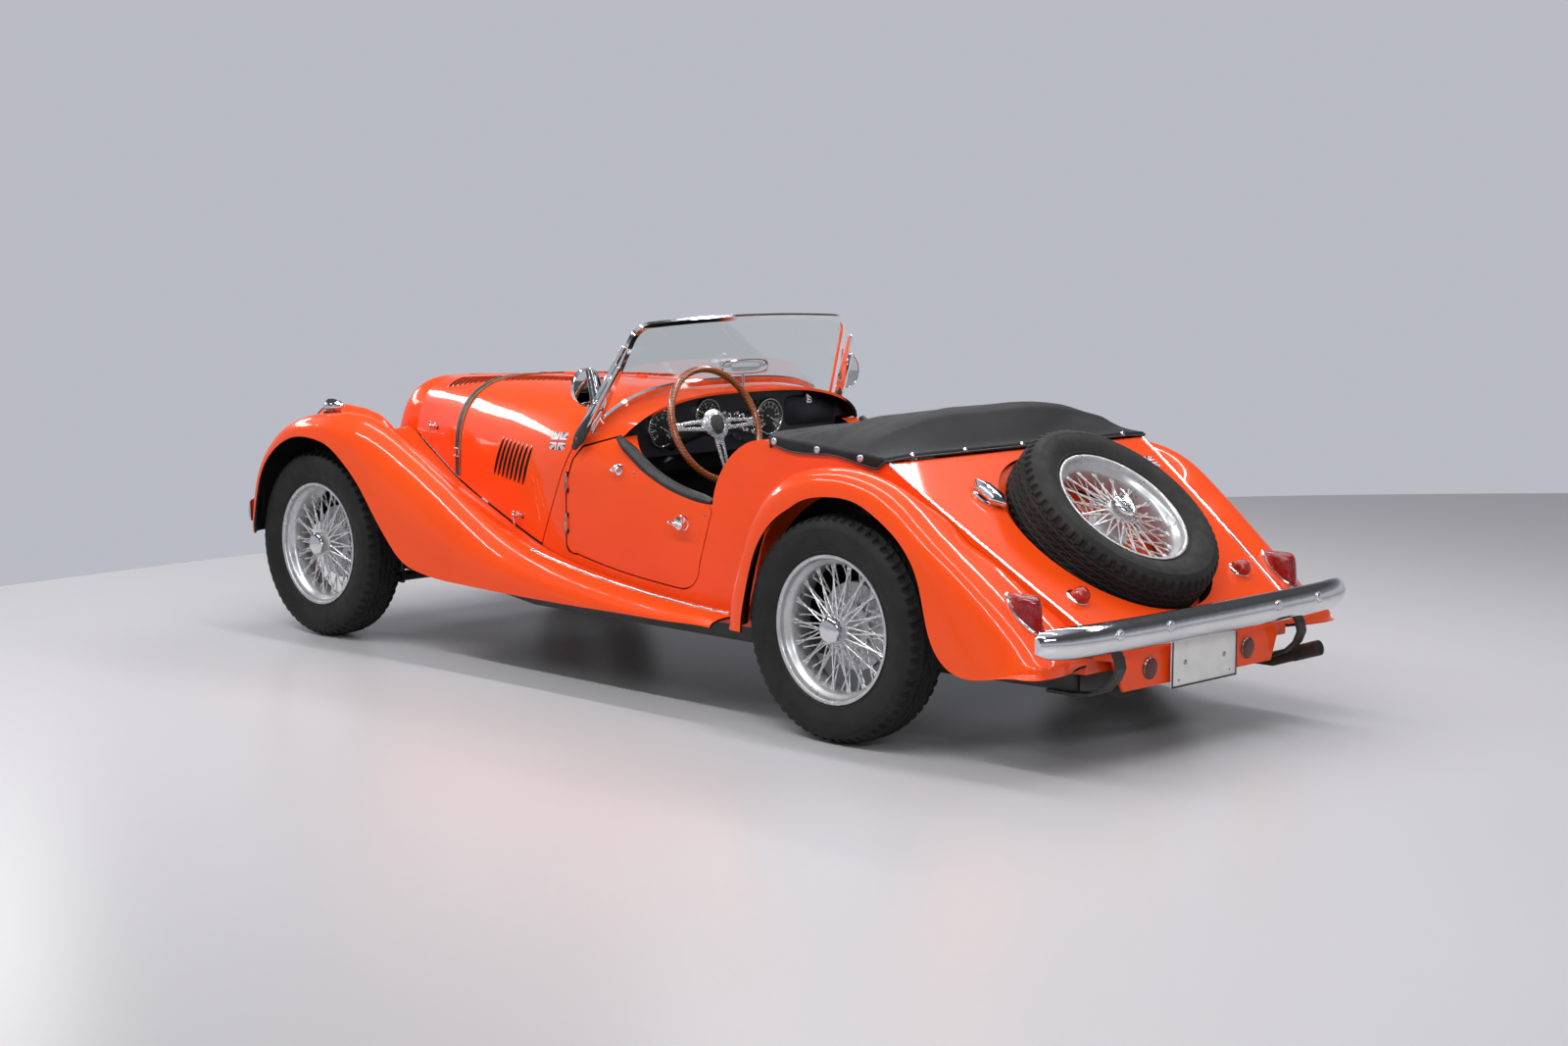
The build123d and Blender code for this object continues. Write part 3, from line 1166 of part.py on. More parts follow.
# ---- Bumpers, lamps and fittings -----------------------------------------------------------
def bumper(face_x, inward, z, depth, bend):
    """Curved bar of half-oval section. inward is +1 when the car lies towards +X of it; bend gives
    (share of the half width, set back, share of the section's size)."""
    wires = []
    for share, back, size in [(-f, d, k) for f, d, k in bend[:0:-1]] + bend:
        x0, y = face_x + inward * back, share * BUMPER_HALF
        half, deep = BUMPER_H / 2 * size, inward * depth * size
        face = [(x0 + deep, y, z - half), (x0 + 0.48 * deep, y, z - 0.86 * half), (x0 + 0.1 * deep, y, z - 0.42 * half),
                (x0, y, z), (x0 + 0.1 * deep, y, z + 0.42 * half), (x0 + 0.48 * deep, y, z + 0.86 * half),
                (x0 + deep, y, z + half)]
        wires.append(closed_wire([face, [face[-1], face[0]]]))
    return Solid.make_loft(wires)


REAR_BEND = [(0.0, 0.0, 1.0), (0.2, 0.5, 1.0), (0.37, 2.0, 1.0), (0.52, 5.0, 1.0), (0.665, 9.5, 1.0), (0.79, 18.0, 1.0),
             (0.88, 31.0, 0.99), (0.94, 47.0, 0.93), (0.975, 63.0, 0.8), (1.0, 82.0, 0.5)]
FRONT_BEND = [(0.0, 0.0, 1.0), (0.2, 0.2, 1.0), (0.37, 0.5, 1.0), (0.52, 0.9, 1.0), (0.665, 1.5, 1.0), (0.79, 2.5, 1.0),
              (0.88, 4.5, 0.99), (0.94, 10.0, 0.95), (0.975, 20.0, 0.86), (1.0, 42.0, 0.6)]
REAR_BAR_D = 38.0        # depth of the bumpers' sections
FRONT_BAR_D = 15.0
PAD_T = 12.0
REAR_BUMPER_Z = 366.0
FRONT_BUMPER_Z = 402.0


def flat_bar(points, y, width, thick):
    """Bent flat bar in the plane of constant y through the (x, z) points."""
    whole = None
    for (x0, z0), (x1, z1) in zip(points, points[1:]):
        length = math.hypot(x1 - x0, z1 - z0)
        nx, nz = -(z1 - z0) / length * thick / 2, (x1 - x0) / length * thick / 2
        run = side_prism(polygon([(x0 + nx, z0 + nz), (x1 + nx, z1 + nz), (x1 - nx, z1 - nz), (x0 - nx, z0 - nz)]),
                         y - width / 2, y + width / 2)
        knee = rod((x1, y - width / 2, z1), (x1, y + width / 2, z1), thick / 2)
        whole = run + knee if whole is None else whole + run + knee
    return whole


IRON_T = 9.0
IRON_W = 38.0
REAR_IRON_Y = 420.0
FRONT_IRON_Y = 290.0


def make_rear_bumper():
    bar = bumper(TAIL_X, 1, REAR_BUMPER_Z, REAR_BAR_D, REAR_BEND)
    back = TAIL_X + REAR_BAR_D + PAD_T
    pad = block(TAIL_X + REAR_BAR_D / 2, back, REAR_IRON_Y - 26, REAR_IRON_Y + 26, REAR_BUMPER_Z - 32, REAR_BUMPER_Z + 20)
    return bar + pad + mirrored(pad)


def make_rear_irons():
    """Bent flat bars from under the rails to the rear bumper."""
    low = FRAME_Z - IRON_T / 2 - SEAT_GAP
    back = TAIL_X + REAR_BAR_D + PAD_T + SEAT_GAP + IRON_T / 2
    path = [(rear(-560), low), (rear(-645), low), (rear(-700), 199), (rear(-747), 219), (rear(-778), 249), (rear(-791), 280),
            (rear(-785), 305), (back, 324), (back, REAR_BUMPER_Z + 18)]
    return both(flat_bar(path, REAR_IRON_Y, IRON_W, IRON_T))


def make_front_bumper():
    bar = bumper(NOSE_X, -1, FRONT_BUMPER_Z, FRONT_BAR_D, FRONT_BEND)
    back = NOSE_X - FRONT_BAR_D - PAD_T
    pad = block(back, NOSE_X - FRONT_BAR_D / 2, FRONT_IRON_Y - 26, FRONT_IRON_Y + 26, FRONT_BUMPER_Z - 30, FRONT_BUMPER_Z + 16)
    return bar + pad + mirrored(pad)


def make_front_irons():
    """Bent flat bars from the rails' tops to the front bumper."""
    low = FRAME_TOP + IRON_T / 2 + SEAT_GAP
    back = NOSE_X - FRONT_BAR_D - PAD_T - SEAT_GAP - IRON_T / 2
    path = [(front(90), low), (front(318), low), (back - 12, low + 14), (back, low + 44), (back, FRONT_BUMPER_Z + 14)]
    return both(flat_bar(path, FRONT_IRON_Y, IRON_W, IRON_T))


def make_headlamps(wing):
    """Lens and chrome rim on the front of each pod, and the side lamps on top of the wings."""
    back = -6 + SEAT_GAP
    rim = [(0, back), (POD_R - 1, back), (POD_R, back + 10), (LAMP_R, back + 22), (LAMP_R - 4, back + 24),
           (60, back + 38), (30, back + 44), (0, back + 46)]
    lamp = turned(rim, (LAMP_X, LAMP_Y, LAMP_Z), (1, 0, 0))
    side_lamp = make_side_lamp() - Pos(0, 0, 0.3) * wing
    side_lamp = max(side_lamp.solids(), key=lambda s: s.center().Z)
    return both(Compound(children=[lamp, side_lamp]))


SIDE_LAMP_X = front(-26)
SIDE_LAMP_Y = 604.0
SIDE_LAMP_Z = 788.0


def make_side_lamp():
    body = [(0, -62), (8, -58), (18, -36), (22, 0), (22, 14), (16, 24), (0, 28)]
    lamp = turned(body, (SIDE_LAMP_X, SIDE_LAMP_Y, SIDE_LAMP_Z), (1, 0, 0))
    foot = block(SIDE_LAMP_X - 22, SIDE_LAMP_X + 12, SIDE_LAMP_Y - 7, SIDE_LAMP_Y + 7, 756, SIDE_LAMP_Z)
    return lamp + foot


TAIL_LAMP = (rear(-592), 590.0, 436.0)
TURN_LAMP = (rear(-612), 372.0, 468.0)
REFLECTOR = (226.0, 252.0)


def make_rear_lamps(wing, deck):
    """Tail lamps on the wings, turn lamps on the deck, reflectors on the valance."""
    x, y, z = TAIL_LAMP
    tail = turned([(0, -34), (24, -30), (29, -20), (29, 34), (0, 34)], (x, y, z), (-1, 0, 0.12))
    tail_foot = rod((x + 8, y, z - 40), (x + 8, y, z - 8), 24)
    tail = (tail + tail_foot) - wing
    tail = max(tail.solids(), key=lambda s: s.center().Z)
    x, y, z = TURN_LAMP
    turn = turned([(0, -20), (20, -18), (25, -6), (25, 20), (0, 24)], (x, y, z), (-1, 0, 0.1))
    turn = (turn + rod((x + 4, y, z - 44), (x + 4, y, z - 8), 15)) - deck
    turn = max(turn.solids(), key=lambda s: s.center().Z)
    y, z = REFLECTOR
    face_x = TAIL_DECK_X - SEAT_GAP - 26 - 6 * (300 - z) / (300 - VALANCE_LOW)
    disc = rod((face_x - SEAT_GAP - 1.5, y, z), (face_x - 13, y, z), 30)
    return Compound(children=[tail, turn, disc, mirrored(tail), mirrored(turn), mirrored(disc)])


MIRROR = (136.0, 577.0, 916.0)
MIRROR_R = 59.0
INNER_MIRROR = (50.0, -20.0, 957.0)


def make_mirrors():
    """Round mirrors on the scuttle's sides and the mirror over the dashboard."""
    x, y, z = MIRROR
    base_x, base_z = x + 42, 796.0
    base_y = section_y(base_x, base_z)
    head = turned([(0, -9), (MIRROR_R - 2, -9), (MIRROR_R, -6), (MIRROR_R, 0), (40, 12), (0, 18)], (x, y, z), (1, 0, 0))
    stalk = rod((base_x, base_y + 1, base_z), (x + 8, y, z - 20), 5)
    foot = rod((base_x, base_y - 12, base_z - 8), (base_x, base_y + 6, base_z + 2), 9)
    outside = (head + stalk + foot) - half_room(base_x - 60, base_x + 60, -0.5)
    outside = max(outside.solids(), key=lambda s: s.volume)
    x, y, z = INNER_MIRROR
    glass = block(x, x + 14, y - 100, y + 100, z - 22, z + 22)
    post = rod((x + 10, y, crown(x) - 6), (x + 10, y, z), 5)
    inside = (glass + post) - half_room(x - 30, x + 50, -0.5)
    inside = max(inside.solids(), key=lambda s: s.volume)
    return Compound(children=[outside, mirrored(outside), inside])


LEVER_X = -70.0
BRAKE_X = -250.0


def make_levers():
    """Gear lever on the tunnel and the hand brake beside it."""
    top = TUNNEL_TOP + SEAT_GAP
    gear = rod((LEVER_X, 0, top), (LEVER_X, 0, top + 14), 46)
    gear = gear + rod((LEVER_X, 0, top + 8), (LEVER_X - 40, 0, 616), 6) + Pos(LEVER_X - 42, 0, 624) * Sphere(22)
    brake = block(BRAKE_X - 30, BRAKE_X + 40, -60, -40, top, top + 26)
    brake = brake + rod((BRAKE_X, -50, top + 14), (BRAKE_X + 210, -50, top + 76), 9)
    return Compound(children=[*gear.solids(), *brake.solids()])


def make_door_left():
    """Door with its hinge barrels and its outside handle."""
    door = make_door()
    for z in HINGE_Z:
        leaf = rod((HINGE_X, HINGE_Y, z - HINGE_HALF), (HINGE_X, HINGE_Y, z + HINGE_HALF), HINGE_PIN_R)
        for end in (-1, 1):
            z0, z1 = sorted((z + end * (HINGE_HALF + 0.01), z + end * (HINGE_HALF + 15)))
            door = door - rod((HINGE_X, HINGE_Y, z0), (HINGE_X, HINGE_Y, z1), HINGE_PIN_R + 3)
        door = door + leaf
    handle = block(-296, -262, BODY_HALF - 1, BODY_HALF + 22, 526, 546)
    return door + handle


HINGE_X = DOOR_FRONT - 3.0
HINGE_Y = BODY_HALF - 2.0
HINGE_Z = (488.0, 614.0)
HINGE_HALF = 18.0


# ---- The whole car -------------------------------------------------------------------------
def main():
    scuttle = make_scuttle()
    rear_body = make_rear_body()
    wing_front = make_front_wing()
    wing_rear = make_rear_wing()
    bonnet = make_bonnet()
    strap = strap_half()
    door = make_door_left()
    knuckle = make_knuckle()
    write("chassis", make_chassis())
    write("front_axle", make_front_axle())
    write("rear_axle", make_rear_axle())
    write("engine", make_engine())
    write("fuel_tank", make_tank())
    write("exhaust", make_exhaust())
    write("floor", make_floor())
    write("scuttle", scuttle)
    write("inner_wings", both(make_inner_wing()))
    write("rear_body", rear_body)
    write("rear_valance", make_valance())
    write("number_plate", make_plate())
    write("wings_front", both(wing_front))
    write("wings_rear", both(wing_rear))
    write("radiator_cowl", make_cowl())
    write("grille", make_grille())
    write("bonnet_hinge", make_hinge_strip())
    write("headlamps", make_headlamps(wing_front))
    write("front_bumper", make_front_bumper())
    write("rear_bumper", make_rear_bumper())
    write("front_bumper_irons", make_front_irons())
    write("rear_bumper_irons", make_rear_irons())
    write("rear_lamps", make_rear_lamps(wing_rear, rear_body))
    write("windscreen_frame", make_screen_frame())
    write("windscreen_glass", make_glass())
    write("dashboard", make_dash())
    write("seats", make_seats())
    write("steering_column", make_column())
    write("hood_cover", make_hood_cover())
    write("mirrors", make_mirrors())
    write("levers", make_levers())
    write("steering_wheel", make_steering_wheel())
    for name, mirror_it in (("left", False), ("right", True)):
        if mirror_it:
            bonnet = make_bonnet(-1)
        for node, shape in (("bonnet", bonnet), ("strap", strap), ("door", door), ("knuckle", knuckle)):
            write(f"{node}_{name}", mirrored(shape) if mirror_it else shape)
    hubs = {
        "front_left": ((FRONT_X, TRACK_FRONT / 2, AXLE_Z), (0, 1, 0)),
        "front_right": ((FRONT_X, -TRACK_FRONT / 2, AXLE_Z), (0, -1, 0)),
        "rear_left": ((REAR_X, TRACK_REAR / 2, AXLE_Z), (0, 1, 0)),
        "rear_right": ((REAR_X, -TRACK_REAR / 2, AXLE_Z), (0, -1, 0)),
    }
    for name, (centre, out) in hubs.items():
        write(f"wheel_{name}", make_wheel(centre, out))
        write(f"tyre_{name}", make_tyre(centre, out))
    write("wheel_spare", make_wheel((SPARE_X, 0, SPARE_Z), SPARE_AXIS, with_drum=False))
    write("tyre_spare", make_tyre((SPARE_X, 0, SPARE_Z), SPARE_AXIS))
    os.makedirs("parts", exist_ok=True)
    for name, shape in NODES.items():
        export_step(shape, f"parts/{name}.step")


if __name__ == "__main__":
    main()
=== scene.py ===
import math

import bmesh
import bpy
import numpy as np
from mathutils import Matrix, Vector, noise
from mathutils.bvhtree import BVHTree


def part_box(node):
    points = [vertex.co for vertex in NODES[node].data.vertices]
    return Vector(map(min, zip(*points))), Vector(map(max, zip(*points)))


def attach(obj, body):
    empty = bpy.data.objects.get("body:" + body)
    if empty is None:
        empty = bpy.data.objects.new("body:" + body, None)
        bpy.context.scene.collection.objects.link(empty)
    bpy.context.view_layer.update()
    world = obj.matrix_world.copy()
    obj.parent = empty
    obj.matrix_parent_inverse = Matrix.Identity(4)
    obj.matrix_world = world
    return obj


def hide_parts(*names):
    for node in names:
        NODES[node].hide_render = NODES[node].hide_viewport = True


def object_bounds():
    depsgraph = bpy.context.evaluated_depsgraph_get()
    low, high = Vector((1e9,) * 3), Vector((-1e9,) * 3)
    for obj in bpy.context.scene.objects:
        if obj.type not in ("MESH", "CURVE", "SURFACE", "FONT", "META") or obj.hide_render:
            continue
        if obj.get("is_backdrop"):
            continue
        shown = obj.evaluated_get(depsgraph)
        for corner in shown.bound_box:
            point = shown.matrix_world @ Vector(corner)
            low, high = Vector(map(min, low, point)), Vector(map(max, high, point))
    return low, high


# The looks of the open two-seat roadster. Lengths are written in millimetres in the part's frame
# (X forward, Y to the car's left, Z up) and become metres where a mesh is made. The camera, the
# lights and the floor are in metres.
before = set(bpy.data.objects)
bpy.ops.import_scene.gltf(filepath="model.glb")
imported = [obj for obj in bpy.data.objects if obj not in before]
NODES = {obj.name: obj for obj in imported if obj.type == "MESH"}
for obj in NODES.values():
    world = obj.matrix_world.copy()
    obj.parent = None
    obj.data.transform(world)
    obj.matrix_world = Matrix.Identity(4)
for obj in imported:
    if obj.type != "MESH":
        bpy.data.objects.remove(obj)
cad_box = [list(map(float, corner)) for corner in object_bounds()]
MM = 0.001
CAR = "body"
HANDS = (1, -1)
SIDES = ((1, "left"), (-1, "right"))
ORIGIN, UP, REARWARD = (0, 0, 0), (0, 0, 1), Vector((-1, 0, 0))
AXLE_Z = 317.0
FRONT_AXLE_X, REAR_AXLE_X = 1438.0, -1000.0


def add_to_scene(thing):
    bpy.context.scene.collection.objects.link(thing)
    return thing


# ---- Camera and light ----------------------------------------------------------------------
def make_camera():
    """Stands behind the car's left rear wheel, at a standing person's eye height."""
    place = Vector((-5.7592, 5.6959, 1.4892))
    yaw, pitch, roll = -0.7928, -0.1262, 0.0035
    ahead = Vector((math.cos(pitch) * math.cos(yaw), math.cos(pitch) * math.sin(yaw), math.sin(pitch)))
    right = ahead.cross(Vector(UP)).normalized()
    up = right.cross(ahead)
    across = right * math.cos(roll) + up * math.sin(roll)
    upright = up * math.cos(roll) - right * math.sin(roll)
    data = bpy.data.cameras.new("camera")
    data.sensor_width = 36.0
    data.lens = 58.71
    camera = add_to_scene(bpy.data.objects.new("camera", data))
    camera.matrix_world = Matrix((
        (across.x, upright.x, -ahead.x, place.x),
        (across.y, upright.y, -ahead.y, place.y),
        (across.z, upright.z, -ahead.z, place.z),
        (0, 0, 0, 1),
    ))
    bpy.context.scene.camera = camera


# Name, place, length, width and power in watts of each lamp.
LAMPS = [
    ("strip_left", (-0.2, 2.5, 3.3), 6.4, 0.13, 105),
    ("strip_right", (-0.2, -2.3, 3.3), 6.4, 0.16, 80),
    ("strip_middle", (-0.2, 0.2, 3.7), 6.4, 0.16, 70),
    ("front_panel", (5.4, 0.8, 2.6), 3.0, 0.5, 55),
    ("rear_panel", (-6.0, 3.2, 3.4), 3.0, 0.35, 70),
]
LAMP_AIM = Vector((0, 0, 0.4))
SOFT_LIGHT = 0.42
BACKDROP = (0.49, 0.50, 0.555, 1)
# What gloss sees, from straight down (0) over the horizon (0.5) to straight up (1): a room that
# is pale at eye level, dark above it, and lit at the ceiling's middle.
ROOM = [(0.0, 0.52), (0.50, 0.46), (0.57, 0.50), (0.63, 0.22), (0.72, 0.07), (0.87, 0.09), (0.93, 0.50),
        (1.0, 0.60)]
ROOM_COLOUR = (0.97, 0.99, 1.08)


def make_lamps():
    for name, place, long, wide, energy in LAMPS:
        data = bpy.data.lights.new(name, "AREA")
        data.shape = "RECTANGLE"
        data.size, data.size_y = long, wide
        data.energy = energy
        lamp = add_to_scene(bpy.data.objects.new(name, data))
        lamp.location = place
        if name.startswith("strip"):
            lamp.rotation_euler = (-math.atan2(place[1], place[2]), 0, 0)
        else:
            lamp.rotation_euler = (LAMP_AIM - Vector(place)).to_track_quat("-Z", "Y").to_euler()


def make_world():
    world = bpy.data.worlds.new("studio")
    bpy.context.scene.world = world
    world.use_nodes = True
    tree = world.node_tree
    tree.nodes.clear()

    def node(kind, *sources, operation=None):
        """A node whose first inputs are linked or set in order; None leaves one as it is."""
        made = tree.nodes.new(f"ShaderNode{kind}")
        if operation:
            made.operation = operation
        for socket, source in zip(made.inputs, sources):
            if isinstance(source, bpy.types.NodeSocket):
                tree.links.new(source, socket)
            elif source is not None:
                socket.default_value = source
        return made

    path = node("LightPath").outputs
    seen = node("Math", path["Is Camera Ray"], path["Is Glossy Ray"], operation="MAXIMUM")
    seen = node("Math", seen.outputs[0], path["Is Transmission Ray"], operation="MAXIMUM")
    soft = node("Background", (1, 1, 1, 1), SOFT_LIGHT)
    wall = node("Background", BACKDROP, 1.0)
    plain_view = node("MixShader", seen.outputs[0], soft.outputs[0], wall.outputs[0])
    height = node("SeparateXYZ", node("TexCoord").outputs["Generated"]).outputs["Z"]
    ramp = node("ValToRGB", node("Math", height, 0.5, 0.5, operation="MULTIPLY_ADD").outputs[0])
    while len(ramp.color_ramp.elements) < len(ROOM):
        ramp.color_ramp.elements.new(0.5)
    for element, (place, value) in zip(ramp.color_ramp.elements, ROOM):
        element.position = place
        element.color = (*(value * part for part in ROOM_COLOUR), 1)
    room = node("Background", ramp.outputs[0])
    whole = node("MixShader", path["Is Glossy Ray"], plain_view.outputs[0], room.outputs[0])
    node("OutputWorld", whole.outputs[0])
    bpy.context.scene.view_settings.view_transform = "Standard"


# ---- Materials -----------------------------------------------------------------------------
NEAR_BLACK = (0.012, 0.011, 0.011)


class Look:
    """A node material on one Principled shader, varied by procedural textures in object space."""

    def __init__(self, name, color, rough, metallic=0.0, coat=0.0, **sockets):
        self.material = bpy.data.materials.new(name)
        self.material.use_nodes = True
        self.tree = self.material.node_tree
        self.sockets = self.tree.nodes["Principled BSDF"].inputs
        self.sockets["Base Color"].default_value = (*color, 1)
        self.sockets["Roughness"].default_value = rough
        self.sockets["Metallic"].default_value = metallic
        self.sockets["Coat Weight"].default_value = coat
        for socket, value in sockets.items():
            self.sockets[socket.replace("_", " ")].default_value = value
        self.base, self.rough = color, rough
        self.texture = self.node("TexCoord")
        self.coords = self.texture.outputs["Object"]

    def node(self, kind, *sources, **values):
        """A node whose first inputs are linked or set in order, and the others by name."""
        node = self.tree.nodes.new(f"ShaderNode{kind}")
        for key, value in values.items():
            if hasattr(node, key):
                setattr(node, key, value)
            else:
                self.feed(node.inputs[key.replace("_", " ")], value)
        for socket, source in zip(node.inputs, sources):
            self.feed(socket, source)
        return node

    def feed(self, socket, source):
        if isinstance(source, bpy.types.NodeSocket):
            self.tree.links.new(source, socket)
        elif source is not None:
            socket.default_value = source

    def math(self, operation, *sources):
        return self.node("Math", *sources, operation=operation).outputs[0]

    def noise(self, scale, detail=3.0, stretch=None):
        place = self.node("Mapping", self.coords, Scale=stretch).outputs[0] if stretch else self.coords
        return self.node("TexNoise", place, Scale=scale, Detail=detail).outputs["Fac"]

    def mapped(self, source, low, high, start=0.3, end=0.7):
        return self.node("MapRange", source, start, end, low, high).outputs[0]

    def colour(self, factor, second, first=None):
        """Turns the base colour towards a second one by a factor."""
        node = self.node("Mix", data_type="RGBA")
        self.feed(node.inputs[0], factor)
        for socket, value in ((node.inputs[6], first or self.base), (node.inputs[7], second)):
            self.feed(socket, (*value, 1) if isinstance(value, tuple) else value)
        self.base = node.outputs[2]
        self.feed(self.sockets["Base Color"], self.base)
        return self

    def tint(self, scale, second, low=0.0, high=1.0, start=0.35, end=0.65):
        """Varies the colour."""
        return self.colour(self.mapped(self.noise(scale), low, high, start, end), second)

    def uneven(self, scale, spread, stretch=None):
        """Varies the roughness."""
        rough = self.mapped(self.noise(scale, stretch=stretch), self.rough - spread, self.rough + spread)
        self.feed(self.sockets["Roughness"], rough)
        return self

    def relief(self, height, strength, source):
        bump = self.node("Bump", Strength=strength, Distance=height, Height=source)
        normal = self.sockets["Normal"]
        if normal.is_linked:
            self.feed(bump.inputs["Normal"], normal.links[0].from_socket)
        self.feed(normal, bump.outputs[0])
        return self

    def grain(self, scale, height, strength=0.4, stretch=None):
        return self.relief(height, strength, self.noise(scale, 4.0, stretch))

    def cells(self, scale, height, strength=0.5):
        """Leather grain, or the small prisms of a lens."""
        node = self.node("TexVoronoi", self.coords, feature="DISTANCE_TO_EDGE", Scale=scale)
        return self.relief(height, strength, self.mapped(node.outputs["Distance"], 0, 1, 0.0, 0.18))

    def weave(self, scale, height, strength=0.5):
        """Plain weave: bands one way times bands the other."""
        waves = [self.node("TexWave", self.coords, bands_direction=way, Scale=scale,
                           Distortion=0.4).outputs["Fac"]
                 for way in ("X", "Y")]
        return self.relief(height, strength, self.math("MULTIPLY", *waves))

    def parts(self, output):
        """X, Y and Z of the surface's place or of its normal, in the part's frame."""
        return self.node("SeparateXYZ", self.texture.outputs[output]).outputs

    def towards(self, centre, axes):
        """The way from the surface to a centre, along some axes only."""
        away = self.node("VectorMath", centre, self.coords, operation="SUBTRACT")
        keep = [1.0 if axis in axes else 0.0 for axis in "XYZ"]
        return self.node("VectorMath", away.outputs[0], keep, operation="MULTIPLY").outputs[0]

    def dark_inside(self, color, rough, downward=True, open_top=False):
        """The side that faces the car's middle or, if downward, the ground is coloured in another colour."""
        normal, place = self.parts("Normal"), self.parts("Object")
        outward = self.math("MULTIPLY", normal["Y"], self.math("SIGN", place["Y"]))
        if open_top:
            # A slope that faces inward and up is outside, as on a wing beside the bonnet.
            outward = self.math("MAXIMUM", outward, self.math("MULTIPLY_ADD", normal["Z"], 5.0, -0.6))
        least = self.math("MINIMUM", outward, normal["Z"] if downward else 1.0)
        inside = self.mapped(least, 1.0, 0.0, -0.32, -0.26)
        self.feed(self.sockets["Roughness"], self.mapped(inside, self.rough, rough, 0, 1))
        coat = self.sockets["Coat Weight"]
        self.feed(coat, self.mapped(inside, coat.default_value, 0.0, 0, 1))
        return self.colour(inside, color)

    def dark_facing(self, centre, reach):
        """A wing's inner side, which faces the wheel from all round it, is coloured black."""
        way = self.towards(centre, "XZ")
        length = self.node("VectorMath", way, operation="LENGTH").outputs["Value"]
        unit = self.node("VectorMath", way, operation="NORMALIZE").outputs[0]
        facing = self.node("VectorMath", unit, self.texture.outputs["Normal"],
                           operation="DOT_PRODUCT").outputs["Value"]
        return self.colour(self.math("MULTIPLY", self.mapped(facing, 0.0, 1.0, 0.20, 0.26),
                                     self.mapped(length, 1.0, 0.0, reach, reach + 0.01)), NEAR_BLACK)

    def dark_near(self, centre, reach, axes, rearward=False):
        """The surface within reach of a centre is coloured black, or only what faces the rear of it."""
        length = self.node("VectorMath", self.towards(centre, axes), operation="LENGTH").outputs["Value"]
        near = self.mapped(length, 1.0, 0.0, reach - 0.001, reach + 0.001)
        if rearward:
            near = self.math("MULTIPLY", near, self.mapped(self.parts("Normal")["X"], 1.0, 0.0, -0.6, -0.5))
        return self.colour(near, NEAR_BLACK)


ORANGE, DEEP_ORANGE = (0.88, 0.078, 0.008), (0.84, 0.066, 0.006)
FRONT_HUB, REAR_HUB = (FRONT_AXLE_X * MM, 0, AXLE_Z * MM), (REAR_AXLE_X * MM, 0, AXLE_Z * MM)
LOOKS = {}


def paint(name):
    look = Look(name, ORANGE, 0.34, coat=0.62, Coat_Roughness=0.04, Specular_IOR_Level=0.08)
    return look.tint(1.6, DEEP_ORANGE).grain(900, 0.00003, 0.15)


def wood_look():
    look = Look("varnished_wood", (0.26, 0.060, 0.012), 0.28, coat=1.0, Coat_Roughness=0.05)
    wave = look.node("TexWave", look.coords, bands_direction="Z", Scale=34, Distortion=9,
                     Detail=4).outputs["Fac"]
    look.colour(look.mapped(wave, 0, 1, 0.2, 0.9), (0.13, 0.026, 0.006), (0.34, 0.085, 0.016))
    return look.relief(0.0002, 0.15, wave)


def body_looks():
    yield "paint", paint("gloss_orange").uneven(5, 0.04)
    # The wings are coloured black where they face down, inward without facing up, or towards a wheel.
    yield "wing", (paint("gloss_orange_black_beneath").dark_inside(NEAR_BLACK, 0.8, open_top=True)
                   .dark_facing(FRONT_HUB, 0.47).dark_facing(REAR_HUB, 0.47))
    # The tub's side inside the rear wheel arch, within reach of the hub, is coloured black.
    yield "tub", (paint("gloss_orange_tub").dark_inside((0.013, 0.012, 0.012), 0.8)
                  .dark_near(REAR_HUB, 0.372, "XZ"))
    yield "scuttle", (paint("gloss_orange_scuttle").dark_inside((0.013, 0.013, 0.014), 0.7)
                      .dark_near((0.34, 0, 0.55), 0.22, "X", rearward=True))
    yield "door", paint("gloss_orange_trimmed").dark_inside((0.015, 0.015, 0.016), 0.55, downward=False)
    yield "chassis", (Look("chassis_black_paint", (0.018, 0.018, 0.018), 0.42).tint(14, (0.035, 0.031, 0.027))
                      .uneven(30, 0.12).grain(160, 0.0003, 0.3))
    yield "underside", (Look("underside_black", (0.022, 0.021, 0.020), 0.75).tint(9, (0.045, 0.038, 0.031))
                        .grain(220, 0.0005, 0.5))
    yield "exhaust", (Look("exhaust_steel", (0.045, 0.040, 0.037), 0.5, metallic=0.6)
                      .tint(18, (0.075, 0.050, 0.036)).uneven(30, 0.12))
    yield "iron", (Look("cast_grey", (0.16, 0.16, 0.165), 0.55, metallic=0.5).tint(12, (0.24, 0.23, 0.22))
                   .grain(200, 0.0006, 0.5))
    yield "plate", (Look("blank_plate", (0.76, 0.76, 0.75), 0.32, coat=0.3).tint(18, (0.70, 0.70, 0.69))
                    .grain(300, 0.0002, 0.15))
    yield "floor", (Look("pale_epoxy_floor", (0.53, 0.522, 0.54), 0.3, Specular_IOR_Level=0.4)
                    .tint(0.5, (0.55, 0.54, 0.565), start=0.1, end=0.9).grain(420, 0.0002, 0.06))


